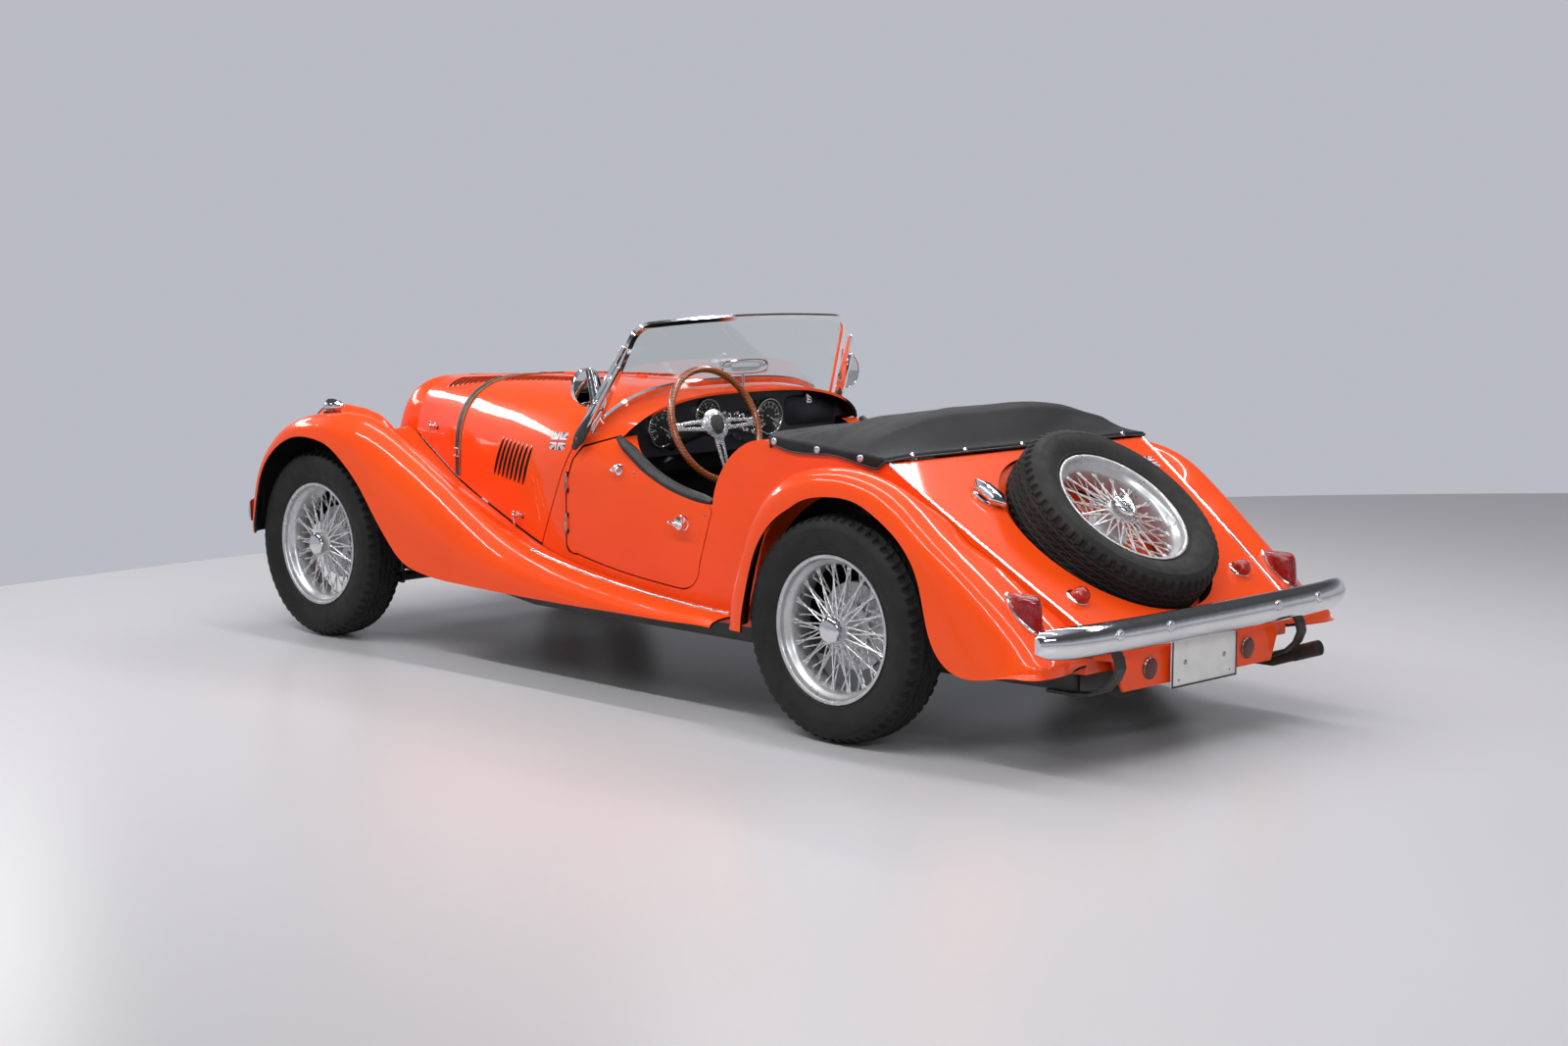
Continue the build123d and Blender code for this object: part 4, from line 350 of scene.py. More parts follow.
def trim_looks():
    yield "carpet", (Look("black_carpet", (0.016, 0.016, 0.017), 0.95, Sheen_Weight=0.4)
                     .tint(120, (0.03, 0.03, 0.031)).grain(1400, 0.0012, 0.9))
    yield "vinyl", (Look("black_vinyl", (0.010, 0.010, 0.012), 0.4, Specular_IOR_Level=0.4)
                    .tint(25, (0.022, 0.022, 0.025)).uneven(18, 0.07).cells(520, 0.00025, 0.4))
    yield "dash", (Look("black_dash_vinyl", (0.012, 0.013, 0.020), 0.34).tint(12, (0.018, 0.019, 0.028))
                   .uneven(20, 0.06).cells(700, 0.0002, 0.3))
    yield "hood", (Look("black_hood_cloth", (0.010, 0.010, 0.012), 0.55, Specular_IOR_Level=0.22)
                   .tint(7, (0.018, 0.018, 0.021)).tint(60, (0.014, 0.014, 0.016), 0, 0.5)
                   .weave(260, 0.0004, 0.35))
    yield "piping", (Look("black_piping", (0.02, 0.02, 0.021), 0.4).tint(80, (0.035, 0.035, 0.036))
                     .grain(500, 0.0002, 0.3))
    yield "tyre", (Look("tyre_rubber", (0.011, 0.011, 0.011), 0.68, Specular_IOR_Level=0.3)
                   .tint(10, (0.018, 0.017, 0.016)).uneven(30, 0.08).grain(380, 0.0003, 0.35))
    yield "rubber", (Look("black_rubber", (0.016, 0.016, 0.016), 0.6).tint(40, (0.03, 0.03, 0.03))
                     .grain(300, 0.0003, 0.3))
    yield "wood", wood_look()
    yield "leather", (Look("dark_strap_leather", (0.022, 0.017, 0.013), 0.5).tint(35, (0.038, 0.028, 0.020))
                      .cells(900, 0.0003, 0.4))
    yield "edge", (Look("pale_leather_edge", (0.36, 0.25, 0.15), 0.6).tint(60, (0.22, 0.15, 0.09))
                   .grain(600, 0.0003, 0.4))
    yield "dial", (Look("dial_face", (0.010, 0.010, 0.011), 0.45).tint(30, (0.016, 0.016, 0.017))
                   .grain(500, 0.0001, 0.2))
    yield "white", (Look("white_marks", (0.78, 0.78, 0.74), 0.5).tint(50, (0.68, 0.68, 0.64))
                    .grain(500, 0.0001, 0.1))
    # Painted shade: a black stand-in where only the shade of an opening would darken, in louvre slots, strap
    # holes and the tail pipe's mouth.
    yield "dark", (Look("painted_shade_black", (0.006, 0.005, 0.005), 0.9).tint(20, (0.010, 0.009, 0.009))
                   .grain(200, 0.0004, 0.3))


def bright_looks():
    yield "chrome", (Look("chrome_plate", (0.80, 0.80, 0.82), 0.07, metallic=1.0)
                     .tint(9, (0.72, 0.73, 0.75)).uneven(14, 0.03))
    yield "worn_chrome", (Look("worn_chrome", (0.55, 0.53, 0.50), 0.2, metallic=1.0)
                          .tint(40, (0.33, 0.29, 0.25)).uneven(60, 0.1))
    yield "dark_chrome", (Look("dull_dark_plate", (0.16, 0.15, 0.15), 0.25, metallic=1.0)
                          .tint(25, (0.26, 0.22, 0.19)).uneven(40, 0.1))
    yield "silver", (Look("silver_wheel_paint", (0.60, 0.60, 0.62), 0.32, metallic=0.65, coat=0.25)
                     .tint(22, (0.50, 0.50, 0.51)).uneven(40, 0.07))
    yield "spoke", (Look("silver_spokes", (0.74, 0.74, 0.75), 0.3, metallic=0.6).tint(60, (0.6, 0.6, 0.6))
                    .uneven(90, 0.08))
    yield "aluminium", (Look("brushed_aluminium", (0.78, 0.78, 0.79), 0.26, metallic=1.0)
                        .tint(30, (0.68, 0.68, 0.69)).uneven(12, 0.06, (1, 30, 30))
                        .grain(300, 0.0001, 0.2, (1, 20, 20)))
    yield "mirror", Look("mirror_glass", (0.86, 0.87, 0.88), 0.015, metallic=1.0).uneven(8, 0.01)
    yield "glass", (Look("clear_glass", (0.93, 0.98, 0.97), 0.0, IOR=1.45, Transmission_Weight=1.0)
                    .grain(8, 0.00002, 0.02))
    yield "lens", (Look("ribbed_lamp_glass", (0.95, 0.97, 0.98), 0.03, IOR=1.45, Transmission_Weight=0.85)
                   .grain(180, 0.0006, 0.5))
    yield "red", (Look("red_lamp_lens", (0.17, 0.002, 0.003), 0.10, coat=0.8)
                  .tint(70, (0.30, 0.002, 0.004)).cells(150, 0.0008))
    yield "amber", (Look("amber_red_lens", (0.33, 0.014, 0.004), 0.10, coat=0.8)
                    .tint(70, (0.42, 0.010, 0.004)).cells(170, 0.0008))
    yield "reflector", Look("red_reflector", (0.09, 0.004, 0.004), 0.3, coat=0.3).cells(260, 0.0006, 0.6)
    yield "blue", (Look("badge_blue", (0.010, 0.016, 0.11), 0.35, coat=0.4).tint(60, (0.008, 0.012, 0.09))
                   .grain(500, 0.0001, 0.1))
    yield "badge_red", (Look("badge_red", (0.55, 0.010, 0.016), 0.35, coat=0.4).tint(60, (0.45, 0.008, 0.012))
                        .grain(500, 0.0001, 0.1))


def make_looks():
    for family in (body_looks, trim_looks, bright_looks):
        LOOKS.update((key, look.material) for key, look in family())


# ---- Shapes --------------------------------------------------------------------------------
def circle(count):
    """Cosine and sine of evenly spread angles."""
    angles = [2 * math.pi * i / count for i in range(count)]
    return [(math.cos(a), math.sin(a)) for a in angles]


def squarish(count, power):
    """Points round a square with soft corners, from -1 to 1 each way; a higher power is squarer."""
    return [(c / size, s / size) for c, s in circle(count)
            for size in [(abs(c) ** power + abs(s) ** power) ** (1 / power)]]


def steps_of(path, closed=False):
    """Direction of a path at each of its points."""
    last = len(path) - 1
    for i in range(last + 1):
        ahead = path[(i + 1) % (last + 1)] if closed or i < last else path[i]
        behind = path[i - 1] if closed or i > 0 else path[i]
        yield (ahead - behind).normalized()


def square_to(direction, run):
    """The direction without its share along run."""
    return (direction - run * direction.dot(run)).normalized()


def frame_of(axis, start=None):
    """Two directions square to an axis, and the axis."""
    axis = Vector(axis).normalized()
    side = square_to(Vector(start) if start else axis.orthogonal(), axis)
    return side, axis.cross(side), axis


def placed(origin, axis, start):
    """Matrix that puts a shape drawn about +Z at a place, along an axis, with its +X towards start."""
    side, front, axis = frame_of(axis, start)
    columns = (side, front, axis, Vector(origin))
    return Matrix([[column[i] for column in columns] for i in range(3)] + [[0, 0, 0, 1]])


class Shape:
    """Vertices and faces in millimetres, gathered from rows, turned profiles, tubes and blocks.
    A skin is the number of the look that some faces have."""

    def __init__(self):
        self.points, self.faces, self.skins = [], [], []

    def add(self, points, faces, skin=0):
        first = len(self.points)
        self.points.extend(tuple(map(float, p)) for p in points)
        self.faces.extend(tuple(first + i for i in face) for face in faces)
        self.skins.extend([skin] * len(faces))
        return self

    def join(self, other):
        first = len(self.points)
        self.points.extend(other.points)
        self.faces.extend(tuple(first + i for i in face) for face in other.faces)
        self.skins.extend(other.skins)
        return self

    def rows(self, rows, round_rows=False, round_cols=False, skin=0, flip=False):
        """Quads between rows of points, each row as long as the others."""
        count, width = len(rows), len(rows[0])
        faces = []
        for i in range(count if round_rows else count - 1):
            for k in range(width if round_cols else width - 1):
                this, following = i * width, ((i + 1) % count) * width
                a, b = this + k, this + (k + 1) % width
                c, d = following + (k + 1) % width, following + k
                faces.append((a, d, c, b) if flip else (a, b, c, d))
        return self.add([p for row in rows for p in row], faces, skin)

    def lid(self, ring, skin=0, flip=False):
        """One face on a closed ring of points."""
        order = range(len(ring))
        return self.add(ring, [tuple(reversed(order) if flip else order)], skin)

    def turned(self, profile, origin=ORIGIN, axis=UP, steps=32, skin=0):
        """Turns (radius, height) points about an axis through the origin."""
        side, front, axis = frame_of(axis)
        rows = [[Vector(origin) + axis * h + side * (max(r, 0.01) * c) + front * (max(r, 0.01) * s)
                 for c, s in circle(steps)] for r, h in profile]
        return self.rows(rows, round_cols=True, skin=skin)

    def dome(self, centre, axis, r, high, skin=0, steps=24):
        """Low round head, such as a bolt's."""
        profile = [(r, -1.0), (r, high * 0.12), (r * 0.92, high * 0.5), (r * 0.7, high * 0.82),
                   (r * 0.35, high * 0.97), (0, high)]
        return self.turned(profile, centre, axis, steps, skin)

    def sweep(self, rows, closed, skin):
        """Skin over rings of points, with a lid on each end unless it closes on itself."""
        self.rows(rows, round_rows=closed, round_cols=True, skin=skin, flip=True)
        if not closed:
            self.lid(rows[0], skin)
            self.lid(rows[-1], skin, flip=True)
        return self

    def tube(self, path, radius, steps=10, skin=0, closed=False, flat=1.0, up=None):
        """Round or flattened bar along a path; radius is one value or one for each point."""
        path = [Vector(p) for p in path]
        radii = radius if isinstance(radius, (list, tuple)) else [radius] * len(path)
        rows, normal = [], Vector(up) if up else None
        for point, r, run in zip(path, radii, steps_of(path, closed)):
            normal = square_to(Vector(up) if up else normal or run.orthogonal().normalized(), run)
            other = run.cross(normal)
            rows.append([point + normal * (r * flat * c) + other * (r * s) for c, s in circle(steps)])
        return self.sweep(rows, closed, skin)

    def section(self, path, outline, ups, skin=0):
        """Sweeps an outline of (across, up) points along a path; ups gives the up direction at each point."""
        path = [Vector(p) for p in path]
        rows = []
        for point, up, run in zip(path, ups, steps_of(path)):
            up = square_to(Vector(up), run)
            across = run.cross(up)
            rows.append([point + across * a + up * b for a, b in outline])
        return self.sweep(rows, False, skin)

    def block(self, low, high, skin, bevel):
        """Block with rounded edges between two corners."""
        low, high, form = Vector(low), Vector(high), bmesh.new()
        bmesh.ops.create_cube(form, size=1.0)
        for v in form.verts:
            v.co = Vector((low[i] + high[i]) / 2 + v.co[i] * (high[i] - low[i]) for i in range(3))
        bmesh.ops.bevel(form, geom=list(form.edges), offset=bevel, segments=2, profile=0.6, affect="EDGES")
        form.verts.index_update()
        self.add([v.co for v in form.verts], [[v.index for v in f.verts] for f in form.faces], skin)
        form.free()
        return self

    def moved(self, matrix):
        self.points = [tuple(matrix @ Vector(p)) for p in self.points]
        return self

    def mirrored(self):
        """The same shape on the car's other side."""
        other = Shape()
        other.points = [(x, -y, z) for x, y, z in self.points]
        other.faces = [face[::-1] for face in self.faces]
        other.skins = list(self.skins)
        return other

    def piece(self, name, looks, body=CAR, slot=None, angle=38.0, replaces=(), merge=True):
        """Makes the Blender object, in metres, riding on a body."""
        mesh = bpy.data.meshes.new(name)
        mesh.from_pydata([[c * MM for c in p] for p in self.points], [], self.faces)
        for look in [looks] if isinstance(looks, str) else looks:
            mesh.materials.append(LOOKS[look])
        mesh.polygons.foreach_set("material_index", self.skins)
        if merge:
            form = bmesh.new()
            form.from_mesh(mesh)
            bmesh.ops.remove_doubles(form, verts=form.verts, dist=0.00002)
            bmesh.ops.dissolve_degenerate(form, dist=0.00001, edges=form.edges)
            bmesh.ops.recalc_face_normals(form, faces=form.faces)
            form.to_mesh(mesh)
            form.free()
        mesh.polygons.foreach_set("use_smooth", [True] * len(mesh.polygons))
        mesh.set_sharp_from_angle(angle=math.radians(angle))
        mesh.update()
        thing = add_to_scene(bpy.data.objects.new(name, mesh))
        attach(thing, body)
        if replaces:
            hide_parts(*replaces)
        return thing


def half_round(r, flat=1.0, sink=1.0, steps=10):
    """Outline of a half-round strip that stands on a surface."""
    points = [(r * math.cos(math.pi * i / steps), r * flat * math.sin(math.pi * i / steps))
              for i in range(steps + 1)]
    return points + [(-r, -sink), (r, -sink)]


def curve(points, count):
    """Evenly spread points on a natural cubic spline through the given ones."""
    pts = np.array([tuple(p) for p in points], float)
    steps = np.r_[0, np.cumsum(np.linalg.norm(np.diff(pts, axis=0), axis=1))]
    n = len(pts)
    h = np.diff(steps)
    a, b = np.zeros((n, n)), np.zeros((n, pts.shape[1]))
    a[0, 0] = a[-1, -1] = 1
    for i in range(1, n - 1):
        a[i, i - 1], a[i, i], a[i, i + 1] = h[i - 1], 2 * (h[i - 1] + h[i]), h[i]
        b[i] = 6 * ((pts[i + 1] - pts[i]) / h[i] - (pts[i] - pts[i - 1]) / h[i - 1])
    second = np.linalg.solve(a, b)
    result = []
    for s in np.linspace(0, steps[-1], count):
        i = min(max(int(np.searchsorted(steps, s)) - 1, 0), n - 2)
        u, v = (steps[i + 1] - s) / h[i], (s - steps[i]) / h[i]
        bend = ((u**3 - u) * second[i] + (v**3 - v) * second[i + 1]) * h[i] ** 2 / 6
        result.append(Vector(u * pts[i] + v * pts[i + 1] + bend))
    return result


# ---- Surfaces of the CAD nodes -------------------------------------------------------------
TREES = {}
FAR = 800.0     # beyond the car's side


def land(node, start, towards):
    """Where a ray meets a CAD node: place and outward direction, in millimetres."""
    if node not in TREES:
        mesh = NODES[node].data
        TREES[node] = BVHTree.FromPolygons([v.co.copy() for v in mesh.vertices],
                                           [tuple(p.vertices) for p in mesh.polygons])
    start, towards = Vector(start), Vector(towards).normalized()
    place, normal, _, _ = TREES[node].ray_cast(start * MM, towards)
    if place is None:
        raise RuntimeError(f"nothing of {node} lies that way from {tuple(start)}")
    return place / MM, -normal if normal.dot(towards) > 0 else normal


def land_beside(node, x, z, hand):
    return land(node, (x, hand * FAR, z), (0, -hand, 0))


def land_on(node, x, y, height=900):
    return land(node, (x, y, height), (0, 0, -1))


# ---- Wheels and tyres ----------------------------------------------------------------------
SPARE_TILT = math.radians(39.4)
FRONT_Y, REAR_Y = 597.0, 622.5
SPARE = ((-1436.6, 0.0, 596.0), (-math.sin(SPARE_TILT), 0, math.cos(SPARE_TILT)), CAR)
RIM_R, RIM_FACE = 208.0, 62.0
TREAD_BLOCKS = 60
GROOVES = (-42, -21, 0, 21, 42)
# Half outline of a tyre's side, from the rim's seat to the shoulder: (radius, distance from the middle).
SIDE_WALL = [(203.2, 44), (203.8, 52), (207.5, 57.5), (210, 60), (213, 62.5), (215, 64.8), (218, 64.4),
             (222, 66.5), (232, 71), (244, 75.4), (254, 78), (262, 79), (270, 79.2), (277, 78.4), (280, 78.9),
             (283, 78.2), (288, 76), (294, 73), (300, 68.6)]


def hubs():
    """Each wheel's key, centre, outward axis and body."""
    for end, x, y in (("front", FRONT_AXLE_X, FRONT_Y), ("rear", REAR_AXLE_X, REAR_Y)):
        for hand, side in SIDES:
            yield f"{end}_{side}", ((x, hand * y, AXLE_Z), (0, hand, 0), f"road_wheel_{end}_{side}")
    yield "spare", SPARE


def spokes(shape, hub_r, hub_z, rim_r, rim_z, lead, skew, count=18, skin=1):
    """One layer of crossed spokes with their nipples in the rim."""
    for i in range(count):
        for turn in (1, -1):
            a = 2 * math.pi * (i + skew + turn * 0.22) / count
            b = a + turn * lead
            start = Vector((hub_r * math.cos(a), hub_r * math.sin(a), hub_z))
            end = Vector((rim_r * math.cos(b), rim_r * math.sin(b), rim_z))
            run = (end - start).normalized()
            shape.tube([start, end], 2.3, 6, skin)
            shape.tube([end - run * 15, end - run * 13, end - run * 3, end + run * 5], [2.4, 3.5, 4.3, 4.6],
                       8, skin)


def wheel_form(drum):
    """Wire wheel about +Z, which points out of the car."""
    shape = Shape()
    rim = [(RIM_R - 0.5, RIM_FACE), (RIM_R - 1.6, RIM_FACE + 0.6), (RIM_R - 8, RIM_FACE + 0.4),
           (RIM_R - 10.5, RIM_FACE - 1.5), (RIM_R - 12, 54), (RIM_R - 13, 47), (RIM_R - 16, 42), (185, 36),
           (180.5, 30), (178.5, 24), (178, 8), (178, -8), (178, -26), (182, -36), (RIM_R - 13, -46),
           (RIM_R - 11, -RIM_FACE), (RIM_R - 1, -RIM_FACE), (RIM_R - 0.5, 4 - RIM_FACE), (RIM_R - 7, -45),
           (184, -22), (184, 22), (RIM_R - 7, 45), (RIM_R - 0.5, RIM_FACE - 3), (RIM_R - 0.5, RIM_FACE)]
    shape.turned(rim, steps=96)
    shape.turned([(20, -34), (60, -34), (62, -31), (62, -26), (58, -24), (43, -20), (38, -10), (36, 6),
                  (36, 24), (40, 32), (41, 38), (39, 42), (34, 43), (33.4, 55), (20, 56)], steps=48)
    spokes(shape, 39, 37, 181, 17, 0.30, 0.0)
    spokes(shape, 59, -29, 181, -3, 0.36, 0.5)
    # The cap over the hub is eight-sided up to its rounded top.
    rows = []
    for r, z in ((33.0, 50), (38.4, 54), (38.6, 66), (36.5, 70), (30, 73.5), (24, 75), (16, 76.5), (0.1, 77)):
        row = []
        for i, (c, s) in enumerate(circle(64)):
            from_flat = (2 * math.pi * i / 64) % (math.pi / 4) - math.pi / 8
            keep = 1.0 if r < 31 else 0.35 + 0.65 * math.cos(math.pi / 8) / math.cos(from_flat)
            row.append((r * keep * c, r * keep * s, z))
        rows.append(row)
    shape.rows(rows, round_cols=True, skin=2)
    if drum:
        shape.turned([(20, -35), (123, -35), (124.5, -36.5), (124.5, -51), (118, -51), (117, -40),
                      (20, -40)], steps=64, skin=3)
        for c, s in circle(24):
            shape.tube([(119 * c, 119 * s, -35.5), (64 * c, 64 * s, -35.5)], 1.6, 6, 3)
    else:
        shape.turned([(0, 77), (17, 77), (18, 80), (15, 86), (0, 88)], steps=28, skin=2)
        shape.tube([(-46, 14, 80), (-30, 9, 84), (0, 0, 85), (30, -9, 84), (46, -14, 80)], [4, 6, 8, 6, 4],
                   12, 2)
    return shape


def tyre_form(steps=360):
    """Cross-ply tyre with zigzag grooves and cut shoulders."""
    angles = np.arange(steps) * 2 * math.pi / steps
    block = angles * TREAD_BLOCKS / (2 * math.pi)
    zigzag = 3.4 * np.where(block % 1 < 0.5, 1, -1)
    rows = list(SIDE_WALL)
    for z in (67.5 - 2.25 * i for i in range(61)):
        crown = 301.0 + 16.0 * (1 - (abs(z) / 69.0) ** 3.2) ** (1 / 1.6)
        depth = np.zeros(steps)
        for line in GROOVES:
            depth = np.maximum(depth, 6.0 * np.clip(1.9 - np.abs(z - line - zigzag) / 2.0, 0, 1))
        if abs(z) > 44:
            cut = np.abs((block % 1) - 0.5) < 0.21
            depth = np.maximum(depth, np.where(cut, 8.0 if abs(z) < 64 else 5.0, 0.0))
        elif 3 < abs(abs(z) % 21 - 10.5) < 8:
            cut = np.abs(((block + 0.25) % 1) - 0.5) < 0.12
            depth = np.maximum(depth, np.where(cut, 3.0, 0.0))
        rows.append((crown - depth, z))
    rows += [(r, -z) for r, z in reversed(SIDE_WALL)]
    rings = []
    for r, z in rows:
        radii = np.broadcast_to(r, steps)
        rings.append([(radius * math.cos(a), radius * math.sin(a), z) for radius, a in zip(radii, angles)])
    return Shape().rows(rings, round_cols=True)


def make_wheels():
    for key, (centre, axis, body) in hubs():
        matrix = placed(centre, axis, (1, 0, 0))
        wheel_form(key != "spare").moved(matrix).piece(
            f"wire_wheel_{key}", ["silver", "spoke", "chrome", "silver"], body, "wheel_silver", 40,
            (f"wheel_{key}",))
    for key, (centre, axis, body) in hubs():
        matrix = placed(centre, axis, (1, 0, 0))
        tyre_form().moved(matrix).piece(
            f"grooved_tyre_{key}", "tyre", body, "tyre", 28, (f"tyre_{key}",), merge=False)


# ---- Tail: bumper bolts, lamps, fuel cap, beads and plate ----------------------------------
END_X = 1828.8      # the bumpers' farthest points, ahead and behind
CREST_X, CREST_Z = -1109.0, 775.0       # where the body's top starts to slope down to the tail
DECK_FALL, DECK_RUN = 406.0, 601.0
DECK_SLOPE = math.atan2(DECK_FALL, DECK_RUN)
DECK_ALONG = Vector((math.cos(DECK_SLOPE), 0, math.sin(DECK_SLOPE)))
DECK_UP = Vector((-math.sin(DECK_SLOPE), 0, math.cos(DECK_SLOPE)))
# Half width of the body's top edge at places along the car.
SIDE_LINE = [(-1710, 461), (-1400, 530), (-1109, 575), (-700, 566), (-400, 560), (100, 560), (366, 543),
             (823, 422), (1040, 360), (1237, 297), (1436, 237), (1560, 200)]


def side_at(x):
    """Half width of the body's top edge, on a smooth line through SIDE_LINE."""
    last = len(SIDE_LINE) - 1
    i = min(max(int(np.searchsorted([p[0] for p in SIDE_LINE], x)) - 1, 0), last - 1)
    (xa, va), (x0, v0) = SIDE_LINE[max(i - 1, 0)], SIDE_LINE[i]
    (x1, v1), (xb, vb) = SIDE_LINE[i + 1], SIDE_LINE[min(i + 2, last)]
    m0, m1, span = (v1 - va) / (x1 - xa), (vb - v0) / (xb - x0), x1 - x0
    t = (x - x0) / span
    return (v0 * (2 * t**3 - 3 * t**2 + 1) + m0 * span * (t**3 - 2 * t**2 + t)
            + v1 * (3 * t**2 - 2 * t**3) + m1 * span * (t**3 - t**2))


def deck_z(x):
    return CREST_Z - (CREST_X - x) * DECK_FALL / DECK_RUN if x < CREST_X else CREST_Z


def make_bumper_bolts():
    shape = Shape()
    for y in (-460, -251, 251, 460):
        place, normal = land("rear_bumper", (-2200, y, 376), (1, 0, 0))
        shape.dome(place, normal, 12.5, 5.0)
        shape.turned([(16, -1), (16, 0.7), (12, 1.0)], place, normal, 24)
    for y in (-250, 250):
        place, normal = land("front_bumper", (2200, y, 402), (-1, 0, 0))
        shape.dome(place, normal, 9.0, 2.5)
    shape.points = [(min(max(x, -END_X), END_X), y, z) for x, y, z in shape.points]
    shape.piece("bumper_bolts", "chrome", slot="chrome")


def lamp_ring(hand, grow, lift):
    """Outline of the tail lamp's base on the wing, pointed ahead and round behind."""
    points = []
    for c, s in circle(48):
        x = -1598 + c * 56 * grow
        y = hand * 586 + s * (1 - 0.42 * max(c, 0) ** 1.3) * 34 * grow
        place, normal = land_on("wings_rear", max(x, -1700), y)
        points.append(place + normal * lift)
    return points


def make_tail_lamps():
    for hand, side in SIDES:
        shape = Shape()
        base = ((1.10, -1.0), (1.13, 1.5), (1.13, 5.0), (1.08, 8.5), (1.01, 9.0), (0.99, 6.5))
        shape.rows([lamp_ring(hand, grow, lift) for grow, lift in base], round_cols=True)
        # The lens is a wedge: its top is nearly level, and its rear face stands upright.
        foot = lamp_ring(hand, 0.99, 6.0)
        top = max(p.z for p in foot) + 5
        middle = sum(foot, Vector()) / len(foot)
        middle.x -= 4
        rows = []
        for share, keep in ((0, 1), (0.2, 0.99), (0.45, 0.97), (0.66, 0.94), (0.80, 0.89), (0.90, 0.80),
                            (0.96, 0.66), (0.99, 0.45), (1.0, 0.2), (1.0, 0.01)):
            rows.append([Vector((middle.x + (p.x - middle.x) * keep, middle.y + (p.y - middle.y) * keep,
                                 p.z + (top - p.z) * share)) for p in foot])
        shape.rows(rows, round_cols=True, skin=1)
        shape.piece(f"tail_lamp_{side}", ["chrome", "red"], slot="lamp_red", angle=50,
                    replaces=("rear_lamps",) if hand > 0 else ())
    turn_lamps, reflectors = Shape(), Shape()
    for hand in HANDS:
        place = Vector((-1606, hand * 372, deck_z(-1606)))
        turn_lamps.turned([(31, -2), (33, 0), (33, 3), (31, 6), (28, 7.5), (27, 7)], place, DECK_UP, 40)
        lean = (DECK_UP + Vector((-0.55, 0, -0.1))).normalized()
        turn_lamps.turned([(26, 5), (26.5, 10), (25.5, 18), (23, 26), (18.5, 33), (11, 37), (5, 38.5),
                           (0, 39)],
                          place, lean, 40, 1)
    turn_lamps.piece("turn_lamps", ["chrome", "amber"], slot="lamp_red", angle=50)
    for hand in HANDS:
        place, _ = land("rear_valance", (-1900, hand * 226, 250), (1, 0, 0))
        back = (-1, 0, -0.06)
        reflectors.turned([(30, -1), (30.5, 2), (29.5, 5.5), (27.5, 6.5), (26.5, 5.6)], place, back, 40)
        reflectors.turned([(26.6, 5), (25.5, 7), (20, 8.6), (10, 9.5), (0, 9.8)], place, back, 40, 1)
    reflectors.piece("valance_reflectors", ["dark_chrome", "reflector"], slot="lamp_red", angle=50)


def make_fuel_cap():
    """Six-sided filler cap on the sloping deck."""
    shape = Shape()
    centre = Vector((-1256.0, 330.0, deck_z(-1256.0)))
    side, front, axis = frame_of(DECK_UP, (math.cos(DECK_SLOPE), 0.18, math.sin(DECK_SLOPE)))
    shape.turned([(43, -2), (45, 0), (45, 5), (41, 8), (38, 8)], centre, axis, 48)
    corners = [(60, 0), (30, 33), (-30, 33), (-60, 0), (-30, -33), (30, -33)]
    ring = []
    for (a0, b0), (a1, b1) in zip(corners, corners[1:] + corners[:1]):
        ring += [(a0 + (a1 - a0) * k / 8, b0 + (b1 - b0) * k / 8) for k in range(8)]
    rows = []
    for share, high in ((0.86, 7), (0.97, 9), (1.0, 13), (0.99, 19), (0.94, 24), (0.80, 28), (0.55, 31),
                        (0.25, 32.5), (0.01, 33)):
        rows.append([centre + side * (a * share) + front * (b * share) + axis * high for a, b in ring])
    shape.rows(rows, round_cols=True)
    shape.piece("fuel_cap", "chrome", slot="chrome", angle=24)


def make_deck_beads():
    """Bright half-round strips along the body's edges, from under the hood cover to the tail."""
    shape = Shape()
    for hand in HANDS:
        path, ups = [], []
        for i in range(40):
            x = -1075 - 634 * i / 39
            z = deck_z(x) if x < CREST_X else CREST_Z + (x - CREST_X) * 31 / 487
            path.append((x, hand * (side_at(x) - 6.5), z))
            slope = DECK_UP if x < -1125 else Vector((-0.06, 0, 1))
            ups.append(slope + Vector((0, hand * 0.35, 0)))
        shape.section(path, half_round(6.0, 0.75, 2.0), ups)
    shape.piece("deck_beads", "chrome", slot="chrome", angle=50)


def make_plate():
    """Blank face of the number plate, its frame and its bolts."""
    x = (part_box("number_plate")[0] / MM).x
    wide, high, middle = 150.0, 66.0, 252.0
    low, top = (x - 1.5, 1 - wide, middle - high + 1), (x - 0.05, wide - 1, middle + high - 1)
    Shape().block(low, top, 0, 0.5).piece("blank_plate_face", "plate", slot="plate_grey")
    trim = Shape()
    edge_y, edge_z = wide - 2.5, high - 2.5
    for y, z, dy, dz in ((0, -edge_z, wide - 0.4, 2.4), (0, edge_z, wide - 0.4, 2.4),
                         (-edge_y, 0, 2.4, high - 0.4), (edge_y, 0, 2.4, high - 0.4)):
        trim.block((x - 3.4, y - dy, middle + z - dz), (x - 1.4, y + dy, middle + z + dz), 0, 0.7)
    for y, z, r, up in ((-90, 0, 7.5, 3.2), (90, 0, 7.5, 3.2), (-118, -46, 4.0, 2.0), (118, -46, 4.0, 2.0)):
        trim.dome((x - 1.4, y, middle + z), REARWARD, r, up, 1)
    trim.piece("plate_frame", ["rubber", "worn_chrome"], slot="plate_grey")


